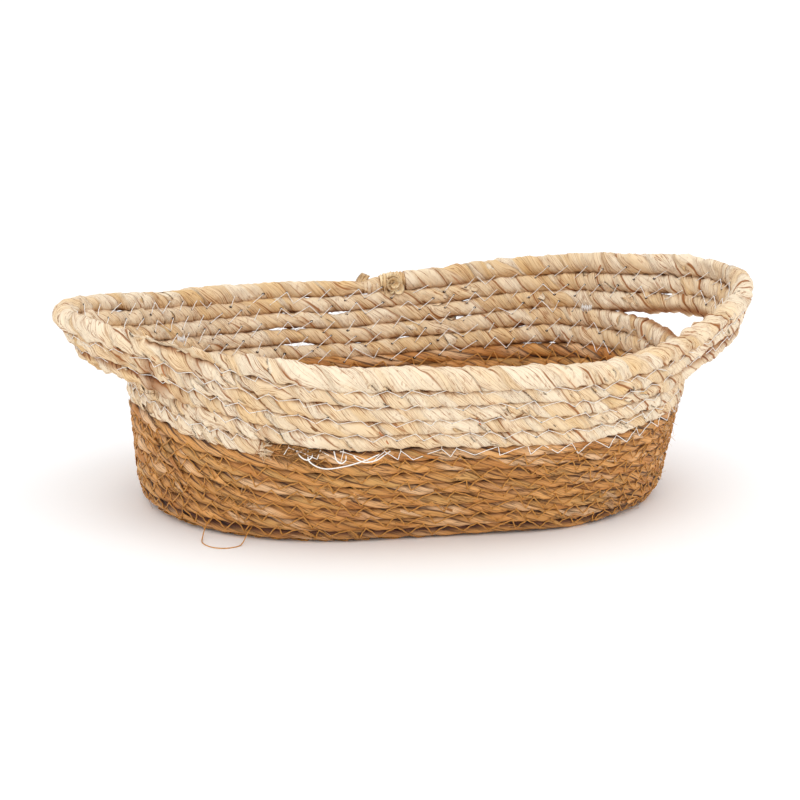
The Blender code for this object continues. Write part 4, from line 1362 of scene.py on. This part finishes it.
def twisted_seagrass(name, tan, brown, green, pale, shade, groove):
    """Dried seagrass blades, twisted: golden brown, some greenish or bleached, finely veined, dark laps."""
    made, tree, shader = start_material(name, GRASS_SKIN)
    tone, hue, lap, openness, uv = strip_values(tree)
    noises = [stretched_noise(tree, uv, *sizes) for sizes in GRASS_NOISES.values()]
    veins, folds, patches = noises

    def mask(value, key):
        return spread(tree, value, *GRASS_MASKS[key])

    # Tan to brown patches, greenish and bleached blades, with veins, folds and laps over them
    patched = weighted(tree, patches, GRASS_SKIN["patches"], GRASS_SKIN["shift"])
    share = weighted(tree, tone, GRASS_SKIN["tone"], patched)
    colour = mixed(tree, mask(share, "brown"), linear(tan), linear(brown))
    greenish = product(tree, mask(hue, "green"), mask(patches, "green_by_patch"))
    colour = mixed(tree, greenish, colour, linear(green))
    colour = mixed(tree, mask(hue, "pale"), colour, linear(pale))
    colour = mixed(tree, mask(veins, "veins"), colour, linear(shade))
    # Fine dark lines along the folds: painted shade in their creases
    lines = product(tree, fine_lines(tree, folds, GRASS_SKIN["line"]), GRASS_SKIN["line_strength"])
    colour = mixed(tree, lines, colour, linear(shade))
    # Painted shade along the blades' laps
    colour = mixed(tree, mask(lap, "lap"), colour, linear(shade))
    # Warm shade where two rows press on each other
    colour = mixed(tree, mask(openness, "groove"), colour, linear(groove), "MULTIPLY")
    height = weighted(tree, veins, GRASS_SKIN["veins"], folds)
    finish_skin(tree, shader, colour, bumped(tree, height, GRASS_SKIN), mask(veins, "rough"))
    return made


def twisted_thread(name, colour, shade):
    """Two-ply polyester thread: a little shiny, with its plies' shade every millimetre."""
    made, tree, shader = start_material(name, THREAD_SKIN)
    place = add(tree, "ShaderNodeTexCoord", {}).outputs["Object"]
    plies = add(tree, "ShaderNodeTexWave",
                {"Vector": place, "Scale": THREAD_SKIN["plies"], "Distortion": THREAD_SKIN["distortion"]},
                wave_type="BANDS", bands_direction="DIAGONAL").outputs["Fac"]
    tint = mixed(tree, spread(tree, plies, *THREAD_SKIN["shade"]), linear(colour), linear(shade))
    finish_skin(tree, shader, tint, bumped(tree, plies, THREAD_SKIN))
    return made


def torn_fibre(name, colour, shade):
    """Torn or stained husk, also dark bits that are partly painted shade: dark, dull, mottled."""
    made, tree, shader = start_material(name, FIBRE_SKIN)
    specks = even_noise(tree, FIBRE_SKIN["specks"])
    finish_skin(tree, shader, mixed(tree, specks, linear(colour), linear(shade)))
    return made


def studio_paper(name):
    """White background paper: matt, with a slight cloudiness."""
    made, tree, shader = start_material(name, PAPER_SKIN)
    clouds = spread(tree, even_noise(tree, PAPER_SKIN["clouds"]), *PAPER_SKIN["range"])
    finish_skin(tree, shader, mixed(tree, clouds, *(linear(colour) for colour in PAPER_COLOURS)))
    return made


def skin(name):
    """The material of this name, made once from the colours in the panel."""
    if name in bpy.data.materials:
        return bpy.data.materials[name]
    husk = bpy.context.scene.basket_husk
    grass = bpy.context.scene.basket_seagrass
    thread = bpy.context.scene.basket_thread
    if name == "wrapped_corn_husk":
        return wrapped_corn_husk(name, husk.cream, husk.tan, husk.rust, husk.shade, HUSK_GROOVE_SHADE)
    if name == "wound_golden_husk":
        return wrapped_corn_husk(name, GOLD["cream"], GOLD["tan"], husk.rust, GOLD["shade"], GOLD["groove"])
    if name == "twisted_seagrass":
        return twisted_seagrass(name, grass.tan, grass.brown, grass.green, grass.pale, grass.shade,
                                GRASS_GROOVE_SHADE)
    if name == "white_polyester_thread":
        return twisted_thread(name, thread.white, WHITE_PLY)
    if name == "brown_polyester_thread":
        return twisted_thread(name, thread.brown, BROWN_PLY)
    if name in STAIN_AND_SHADE_COLOURS:
        return torn_fibre(name, *STAIN_AND_SHADE_COLOURS[name])
    return studio_paper(name)


# Looks of the two ropes

def husk_look():
    """Sizes of the husk wrapped rope's surface."""
    husk = bpy.context.scene.basket_husk
    return {
        "strips": husk.strips, "lay": husk.lay, "lap": husk.lap, "puff": husk.puff,
        "edge_wander": 0.62, "edge_wave": 0.024, "lay_wander": 0.005, "lay_wave": 0.045, "puff_wave": 0.013,
        "folds": 3, "fold": 0.00018, "fold_wave": 0.016, "lump": 0.045, "lump_wave": 0.014,
        "fullness": 1.045, "square": 0.10, "press": 0.00040, "swing": 0.0007, "swing_wave": 0.075,
        "crumples": ((0.012, 0.00050), (0.0050, 0.00028)),
        "crumple_from": 0.075, "crumple_over": 0.08, "crumple_more": 0.8,
        "line": 0.070, "line_power": 1.6, "tone_wave": 0.040, "back_shade_tone": 0.18,
    }


def seagrass_look():
    """Sizes of the twisted seagrass rope's surface."""
    grass = bpy.context.scene.basket_seagrass
    return {
        "strips": grass.blades, "lay": grass.lay, "lap": grass.lap, "puff": grass.puff,
        "edge_wander": 0.36, "edge_wave": 0.035, "lay_wander": 0.006, "lay_wave": 0.060, "puff_wave": 0.018,
        "folds": 2, "fold": 0.00020, "fold_wave": 0.018, "lump": 0.045, "lump_wave": 0.020,
        "fullness": 1.07, "square": 0.07, "press": 0.00040, "swing": 0.0006, "swing_wave": 0.080,
        "crumples": ((0.014, 0.00034), (0.005, 0.00016)),
        "crumple_from": 0.11, "crumple_over": 0.06, "crumple_more": 0.5,
        "line": 0.09, "line_power": 0.5, "tone_wave": 0.045, "back_shade_tone": 0.10,
    }


# Seams

def groove(turn):
    """Middle of the groove below the row at this turn, its ways up and out, and the radius beside it."""
    low = row_point(turn - 1)
    high = row_point(turn)
    ahead = row_point(turn + LITTLE_TURN) - row_point(turn - LITTLE_TURN)
    across = unit(high - low)
    out = unit(np.cross(across, ahead))
    radius = np.maximum(row_radius(turn), row_radius(turn - 1))
    middle = low + across * (row_radius(turn - 1) + ROW_GAP / 2)[..., None]
    return middle, across, out, radius


def on_face(turn, up, proud, face=1.0):
    """Places beside the groove, this far up it and proud of the two ropes, with their ways out, up and along.

    The ropes' surface there is a circle about each row's middle, held level past the middle.
    """
    middle, across, out, radius = groove(turn)
    beside = np.clip(radius - np.abs(up), 0, None)
    level = np.sqrt(np.maximum(radius ** 2 - beside ** 2, 0))
    point = middle + across * np.asarray(up)[..., None] + out * (face * (level + proud))[..., None]
    return point, out * face, across, np.cross(across, out)


def hole_places(start, end, face, style):
    """Needle holes of a seam, alternately in the lower and the upper row, each a little out of place."""
    seed = style["seed"]
    holes = np.arange(math.ceil(start * 2 * STITCHES), math.ceil(end * 2 * STITCHES) - 1)
    turn = (holes + style["loose"] * wander(holes, 1.0, seed)) / (2 * STITCHES)
    odd = holes % 2 == 1
    upward = np.where(odd, 1.0, -1.0)
    reach = np.where(odd, style["up"], style["down"]) * (1 + HOLE_SCATTER * wander(holes, 1.0, seed + 1))
    middle, across, out, radius = groove(turn)
    out = out * face
    beside = np.maximum(radius - reach, 0)
    lift = np.sqrt(radius ** 2 - beside ** 2) * style["proud"]
    point = middle + across * (reach * upward)[:, None] + out * lift[:, None]
    normal = unit(out * lift[:, None] - across * (beside * upward)[:, None])
    return holes, point, normal, out


def seam(name, nodes, thread_skin, stretches, face, style):
    """Stitches over a groove: a zigzag, or slanted stitches where most of the second ones are left out.

    Each stitch rises out of its hole, runs to the next hole with a slight sag in its middle, and dips in.
    """
    paths = []
    width = style["diameter"]
    for start, end in stretches:
        holes, point, normal, out = hole_places(start, end, face, style)
        first = np.arange(len(holes) - 1)
        if not style["zigzag"]:
            kept = chance(style["seed"] + 2, len(first)) < SECOND_STITCH_SHARE
            first = first[(holes[:-1] % 2 == 0) | kept]
        here = point[first]
        there = point[first + 1]
        stations = [here - normal[first] * STITCH_SINK, here + normal[first] * width / 2]
        for share, height in STITCH_STATIONS:
            stations.append(here + (there - here) * share + out[first] * width * height)
        stations += [there + normal[first + 1] * width / 2, there - normal[first + 1] * STITCH_SINK]
        paths.append(np.stack(stations, axis=1))
    paths = np.concatenate(paths)
    paths[..., 2] = np.maximum(paths[..., 2], width / 2)
    return strands(name, nodes, thread_skin, paths, width, width)


def needle_holes(name, stretches, face, style):
    """Dark dots at the ends of the stitches, partly torn rims and partly painted shade in the needle holes:
    two flat cones on the rope's surface, foot to foot.
    """
    corners = HOLE["corners"]
    points = []
    for start, end in stretches:
        _, point, normal, _ = hole_places(start, end, face, style)
        first = unit(np.cross(normal, NEARLY_UP))
        second = np.cross(normal, first)
        size = style["hole"] * (HOLE["least"] + chance(style["seed"] + HOLE["seed"], len(point)))[:, None]
        high = normal * HOLE["height"]
        ring = [point + high * HOLE["top"]]
        for corner in range(corners):
            angle = corner / corners * FULL_TURN
            off = first * math.cos(angle) * HOLE["long"] + second * math.sin(angle)
            ring.append(point - high + off * size)
        ring.append(point - high * HOLE["bottom"])
        points.append(np.stack(ring, axis=1))
    points = np.concatenate(points)
    here = np.arange(corners) + 1
    after = here % corners + 1
    upper = np.stack([np.zeros_like(here), here, after], axis=-1)
    lower = np.stack([np.full_like(here, corners + 1), after, here], axis=-1)
    firsts = np.arange(len(points))[:, None, None] * (corners + 2)
    faces = [(np.concatenate([upper, lower])[None] + firsts).reshape(-1, 3)]
    return link_piece(name, mesh_of(name, points.reshape(-1, 3), faces, skin("needle_hole")), ())


def husk_stretches():
    """Stretches of the husk rows' seam, which stops at each hand hole."""
    left_stop, left_go_on = hand_hole_turns("left")
    right_stop, right_go_on = hand_hole_turns("right")
    end = WINDING_END - RIM_TAIL_TURNS / 2
    return [(HUSK_START, left_stop), (left_go_on, right_stop), (right_go_on, end)]


def stitch_place(turn, upward, face):
    """A needle hole of the source's stitches beside the groove."""
    middle, across, out, radius = groove(turn)
    lift = np.sqrt(radius ** 2 - (radius - CAD_STITCH_REACH) ** 2) + THREAD_DIAMETER / 2 + CLEARANCE
    return middle + across * (CAD_STITCH_REACH * upward)[..., None] + out * (face * lift)[..., None]


def groove_seat(turn):
    """Deepest place of a thread in the groove's outer side, a clearance from both rows."""
    middle, _, out, radius = groove(turn)
    apart = radius + THREAD_DIAMETER / 2 + CLEARANCE
    return middle + out * np.sqrt(apart ** 2 - (radius + ROW_GAP / 2) ** 2)[..., None]


def slack_loop_path():
    """Loose thread from the lowest seam over the ground and back: half an ellipse, squared off and aslant."""
    turns = FLOOR_TURNS + SLACK_LOOP_ROWS_UP + np.array(SLACK_LOOP_STEPS) / STEPS_PER_TURN
    ends = stitch_place(turns, np.zeros(2), 1.0)
    chord = ends[1] - ends[0]
    out = unit(np.cross(UP, chord))
    swing = math.pi * np.linspace(0, 1, SLACK_LOOP_POINTS + 1)
    along = (1 - np.cos(swing)) / 2 - SLACK_LOOP_LEAN_SHARE * np.sin(swing)
    reach = SLACK_LOOP_REACH * np.maximum(np.sin(swing), 0) ** SLACK_LOOP_SQUARENESS
    points = ends[0] + chord * along[:, None] + out * reach[:, None]
    held = ease(1 - reach / SLACK_LOOP_DROP_REACH)
    points[:, 2] = THREAD_DIAMETER / 2 + (points[:, 2] - THREAD_DIAMETER / 2) * held
    seats = groove_seat(turns)
    return np.concatenate([seats[:1], points, seats[1:]])


# Pieces, each made by its own operator

class BASKET_OT_loose_loop(bpy.types.Operator):
    """Loose loop of brown thread on the ground at the front left"""
    bl_idname = "basket.loose_loop"
    bl_label = "Loose loop of thread"

    def execute(self, context):
        path = slack_loop_path()
        loop = strands("loose_loop", ["loose_thread_loop"], skin("brown_polyester_thread"),
                       path[None], THREAD_DIAMETER, THREAD_DIAMETER, around=SLACK_LOOP_AROUND)
        return {"FINISHED"}


class BASKET_OT_seagrass_rope(bpy.types.Operator):
    """Seagrass rope of the floor and the lower wall"""
    bl_idname = "basket.seagrass_rope"
    bl_label = "Seagrass rope"

    def execute(self, context):
        look = seagrass_look()
        grass = skin("twisted_seagrass")
        heart = -FLOOR_HEART / FLOOR_RUN_PER_TURN
        rope("floor_rope", ["floor_coil"], grass, heart, heart, FLOOR_TURNS, look, floor_line,
             floor_radius, FLOOR_NET)
        ends = np.linspace(FLOOR_TURNS, HUSK_START, len(WALL_ROPES) + 1)
        for name, start, end in zip(WALL_ROPES, ends, ends[1:]):
            rope(name, ["seagrass_wall_coil"], grass, heart, start, end, look, floor_line,
                 floor_radius, WALL_NET)
        flaps("loose_seagrass_blades", grass, look, BLADE_ROWS, BLADE_ENDS, row_point, row_radius)
        stray_fibres("stray_seagrass_fibres", grass, GRASS_ROWS, GRASS_FIBRES, row_point,
                     row_radius)
        tuft("seagrass_tuft")
        return {"FINISHED"}


class BASKET_OT_husk_rope(bpy.types.Operator):
    """Husk wrapped rope of the wall's top rows and of the handle band"""
    bl_idname = "basket.husk_rope"
    bl_label = "Husk wrapped rope"

    def execute(self, context):
        look = husk_look()
        husk = skin("wrapped_corn_husk")
        middle = BAND_START + (BINDING_START - BAND_START) / 2
        for name, node, start, end, radius_line in (
                ("husk_wall_rope", "husk_wall_coil", HUSK_START, BAND_START, row_radius),
                ("handle_band_rope_lower", "handle_band_coil", BAND_START, middle, row_radius),
                ("handle_band_rope_upper", "handle_band_coil", middle, BINDING_START, band_radius)):
            rope(name, [node], husk, HUSK_START, start, end, look, row_point, radius_line,
                 HUSK_NET)
        rope("thick_rim_rope", ["rim_rope"], husk, BINDING_END, BINDING_END, WINDING_END, look,
             slim_line, slim_radius, RIM_NET)
        flaps("husk_strip_ends", husk, look, HUSK_ROWS, HUSK_ENDS, row_point, band_radius)
        flaps("rim_strip_ends", husk, look, RIM_ROWS, HUSK_ENDS, slim_line, slim_radius)
        stray_fibres("stray_husk_fibres", husk, HUSK_ROWS, HUSK_FIBRES, row_point, band_radius)
        return {"FINISHED"}


class BASKET_OT_frayed_ends(bpy.types.Operator):
    """Frayed start of the husk rope, with the dark hollow beside it, partly painted shade, and tufts by the
    handles
    """
    bl_idname = "basket.frayed_ends"
    bl_label = "Frayed ends"

    def execute(self, context):
        fringe("husk_start_fringe", HUSK_START, -1.0, row_point, row_radius)
        fringe("rim_tail_fringe", WINDING_END, 1.0, slim_line, slim_radius)
        streaks("rust_streaks", skin("rust_stain"), RUST_STREAKS)
        streaks("dark_streaks", skin("dark_stain"), DARK_STREAKS)
        for name in ("husk_start_hollow", "hollow_fibres", "right_handle_tuft", "left_wall_tuft"):
            tuft(name)
        return {"FINISHED"}


def curl(skin):
    """Rolled-up end of the binding's strip: spirals whose radius grows evenly while they wind inwards."""
    seat = top_point((BINDING_START + BINDING_END) / 2, BINDING_DIAMETER / 2)
    share = np.linspace(0, 1, CURL["points"])
    coils = []
    flares = []
    for shift, start, pitch, rounds, turned in CURL_SCROLLS:
        angle = turned + FULL_TURN * rounds * share
        radius = start + pitch * rounds * share
        spot = seat + np.array(shift)
        coils.append(np.stack([spot[0] + radius * np.cos(angle), spot[1] + CURL["depth"] * share,
                               spot[2] + radius * np.sin(angle)], axis=1))
        flare = np.stack([np.cos(angle), np.zeros_like(angle), np.sin(angle)], axis=1) * CURL["flare"]
        flares.append(unit(flare * (CURL["least_flare"] + share)[:, None] + CURL_AXIS))
    width = np.broadcast_to(CURL["width"] * (1 - CURL["taper"] * share ** 3), (len(coils), len(share)))
    values = np.ones((len(coils), 4))
    values[:, 0] = CURL_TONES
    values[:, 1] = CURL["hue"]
    values[:, 2] = CURL["shade"]
    return strands("golden_curl", ["rim_binding_curl"], skin, np.stack(coils), width,
                   CURL["thickness"], np.stack(flares), CURL["around"], values)


def standing_strip(skin):
    """Strip end that stands up beside the binding, bending with the square of its height."""
    turn = STANDING_STRIP["turn"]
    share = np.linspace(0, 1, STANDING_STRIP["points"])[:, None]
    base = row_point(turn) + UP * (float(band_radius(np.array(turn))) - STANDING_STRIP["root"])
    path = base + (STANDING_WAY * share + STANDING_BEND * share ** 2) * STANDING_STRIP["height"]
    side = np.broadcast_to(STANDING_SIDE, (1, *path.shape))
    values = np.array([[STANDING_STRIP["tone"], STANDING_STRIP["hue"], 0.0, 1.0]])
    return strands("standing_strip", [], skin, path[None], STANDING_STRIP["width"],
                   STANDING_STRIP["thickness"], side, STANDING_STRIP["around"], values)


class BASKET_OT_binding(bpy.types.Operator):
    """Binding of golden husk at the back of the rim, with its rolled-up end and a standing strip"""
    bl_idname = "basket.binding"
    bl_label = "Rim binding"

    def execute(self, context):
        gold = skin("wound_golden_husk")
        wraps("golden_binding", ["rim_binding"], gold, BINDING_START,
              BINDING_END + WRAP_OVERLAP, binding_line, BINDING_DIAMETER / 2, BINDING_WRAPS)
        wraps("bound_zone", [], skin("wrapped_corn_husk"), BINDING_START - BOUND_ZONE,
              BINDING_START + WRAP_OVERLAP, row_point, float(row_radius(BINDING_START)), BOUND_WRAPS)
        curl(gold)
        standing_strip(gold)
        return {"FINISHED"}


class BASKET_OT_seams(bpy.types.Operator):
    """Seams between the rows, white on the husk and brown on the seagrass"""
    bl_idname = "basket.seams"
    bl_label = "Seams"

    def execute(self, context):
        white = skin("white_polyester_thread")
        brown = skin("brown_polyester_thread")
        husk_threads = ["husk_seam_thread_lower", "husk_seam_thread_back", "husk_seam_thread_upper"]
        stretches = husk_stretches()
        outside = [(HUSK_START + 1, stretches[0][1])] + stretches[1:]
        turned = HUSK_START + BOUNDARY_LEFT_TURNS
        for name, nodes, rows, face, style in (
                ("husk_seam_outside", husk_threads, outside, 1, HUSK_OUTSIDE),
                ("husk_seam_boundary", husk_threads[:1], [(turned, HUSK_START + 1)], 1, BOUNDARY),
                ("husk_seam_left", husk_threads[:1], [(HUSK_START, turned)], 1, BOUNDARY_LEFT),
                ("husk_seam_inside", husk_threads, stretches, -1, HUSK_INSIDE)):
            seam(name, nodes, white, rows, face, style)
        for name, start, face in (("seagrass_seam", FLOOR_TURNS + 1, 1), ("seagrass_seam_inside", 1.0, -1)):
            rows = [(start, HUSK_START)]
            seam(name, ["seagrass_seam_thread"], brown, rows, face, GRASS_NET)
        needle_holes("husk_needle_holes", stretches, -1, HUSK_INSIDE)
        needle_holes("husk_needle_holes_outside", outside, 1, HUSK_OUTSIDE)
        return {"FINISHED"}


class BASKET_OT_tacks(bpy.types.Operator):
    """Close white stitches where each hand hole ends, and the bundles of loose thread"""
    bl_idname = "basket.tacks"
    bl_label = "Tacks and loose threads"

    def execute(self, context):
        white = skin("white_polyester_thread")
        set_back = TACK_SET_BACK_STEPS / STEPS_PER_TURN
        for side in HANDLES:
            stop, go_on = hand_hole_turns(side)
            ends = ("front", "back") if side == "left" else ("back", "front")
            for end, turn in ((ends[0], stop - set_back), (ends[1], go_on + set_back)):
                holes = np.arange(2 * TACK_STITCHES + 1)
                step = row_point(turn + 1 / STEPS_PER_TURN) - row_point(turn)
                run = float(np.linalg.norm(step)) * STEPS_PER_TURN
                places = turn + (holes - TACK_STITCHES) * TACK_PITCH / (2 * run)
                upward = np.where(holes % 2 == 1, 1.0, -1.0)
                loose = 1 + TACK_SCATTER * wander(holes, 1.0, TACK_SEED)
                points = stitch_place(places, upward * loose, -1.0)
                paths = np.stack([points[:-1], (points[:-1] + points[1:]) / 2, points[1:]], axis=1)
                width = THREAD_DIAMETER * TACK_THREAD_SHARE
                place = side + "_" + end
                strands("tack_" + place, ["handle_tack_" + place], white, paths, width, width)
        paths = []
        for steps in LOOSE_THREADS:
            stations = np.array(steps)
            turn = (HUSK_START + 1) - stations[:, 0] / STEPS_PER_TURN
            point, _, _, _ = on_face(turn, stations[:, 1], stations[:, 2])
            paths.append(curved(point, LOOSE_THREAD_POINTS))
        strands("loose_white_threads", [], white, np.stack(paths), LOOSE_THREAD_DIAMETER,
                LOOSE_THREAD_DIAMETER, around=LOOSE_THREAD_AROUND)
        return {"FINISHED"}


class BASKET_OT_stage(bpy.types.Operator):
    """Pale floor, soft studio light and the camera at the photo's angle"""
    bl_idname = "basket.stage"
    bl_label = "Stage, light and camera"

    def execute(self, context):
        scene = context.scene
        net = bpy.data.meshes.new("studio_floor")
        corners = np.array([[-1, -1, 0], [1, -1, 0], [1, 1, 0], [-1, 1, 0]], float) * FLOOR_REACH
        net.from_pydata(corners.tolist(), [], [(0, 1, 2, 3)])
        net.materials.append(skin("studio_paper"))
        floor = bpy.data.objects.new("studio_floor", net)
        scene.collection.objects.link(floor)
        world = bpy.data.worlds.new("studio_air")
        world.use_nodes = True
        world.node_tree.nodes["Background"].inputs["Color"].default_value = linear(AIR_COLOUR)
        world.node_tree.nodes["Background"].inputs["Strength"].default_value = WORLD_STRENGTH
        scene.world = world
        for name, place, size, power, colour in STUDIO_LIGHTS:
            lamp = bpy.data.lights.new(name, "AREA")
            lamp.shape = "DISK"
            lamp.size = size
            lamp.energy = power
            lamp.color = linear(colour)[:3]
            holder = bpy.data.objects.new(name, lamp)
            holder.location = place
            aim(holder, LIGHT_TARGET)
            scene.collection.objects.link(holder)
        settings = scene.basket_camera
        camera = bpy.data.objects.new("photo_camera", bpy.data.cameras.new("photo_camera"))
        camera.data.sensor_width = SENSOR_WIDTH
        camera.data.lens = settings.lens
        camera.data.clip_start = CLIP_START
        camera.data.clip_end = CLIP_END
        target = np.array([WINDING_SHIFT[0], WINDING_SHIFT[1], settings.aim_height])
        flat = math.cos(settings.elevation)
        back = np.array([math.sin(settings.azimuth) * flat, -math.cos(settings.azimuth) * flat,
                         math.sin(settings.elevation)])
        camera.location = (target + back * settings.distance).tolist()
        aim(camera, target.tolist())
        scene.collection.objects.link(camera)
        scene.camera = camera
        scene.view_settings.view_transform = "Standard"
        scene.view_settings.look = "None"
        return {"FINISHED"}


def aim(holder, target):
    """Turns a light or camera at the origin of its own axes to look at a point."""
    way = Vector(target) - holder.location
    holder.rotation_euler = way.to_track_quat("-Z", "Y").to_euler()


class BASKET_PT_panel(bpy.types.Panel):
    """Lists the basket's pieces and their settings"""
    bl_label = "Oval coiled basket"
    bl_idname = "BASKET_PT_panel"
    bl_space_type = "VIEW_3D"
    bl_region_type = "UI"
    bl_category = "Basket"

    def draw(self, context):
        for operator in OPERATORS:
            self.layout.operator(operator.bl_idname)
        for group in ("basket_husk", "basket_seagrass", "basket_thread", "basket_camera"):
            box = self.layout.box()
            settings = getattr(context.scene, group)
            for name in settings.bl_rna.properties.keys():
                if name not in ("rna_type", "name"):
                    box.prop(settings, name)


OPERATORS = (BASKET_OT_stage, BASKET_OT_loose_loop, BASKET_OT_seagrass_rope, BASKET_OT_husk_rope,
             BASKET_OT_frayed_ends, BASKET_OT_binding, BASKET_OT_seams, BASKET_OT_tacks)
GROUPS = {
    "basket_husk": BASKET_PG_husk,
    "basket_seagrass": BASKET_PG_seagrass,
    "basket_thread": BASKET_PG_thread,
    "basket_camera": BASKET_PG_camera,
}


def register():
    for group in GROUPS.values():
        bpy.utils.register_class(group)
    for name, group in GROUPS.items():
        setattr(bpy.types.Scene, name, bpy.props.PointerProperty(type=group))
    for operator in OPERATORS:
        bpy.utils.register_class(operator)
    bpy.utils.register_class(BASKET_PT_panel)


def unregister():
    bpy.utils.unregister_class(BASKET_PT_panel)
    for operator in reversed(OPERATORS):
        bpy.utils.unregister_class(operator)
    for name, group in GROUPS.items():
        delattr(bpy.types.Scene, name)
        bpy.utils.unregister_class(group)


def main():
    """Makes every piece."""
    register()
    bpy.ops.basket.stage()
    bpy.ops.basket.loose_loop()
    bpy.ops.basket.seagrass_rope()
    bpy.ops.basket.husk_rope()
    bpy.ops.basket.frayed_ends()
    bpy.ops.basket.binding()
    bpy.ops.basket.seams()
    bpy.ops.basket.tacks()


if __name__ == "__main__":
    main()
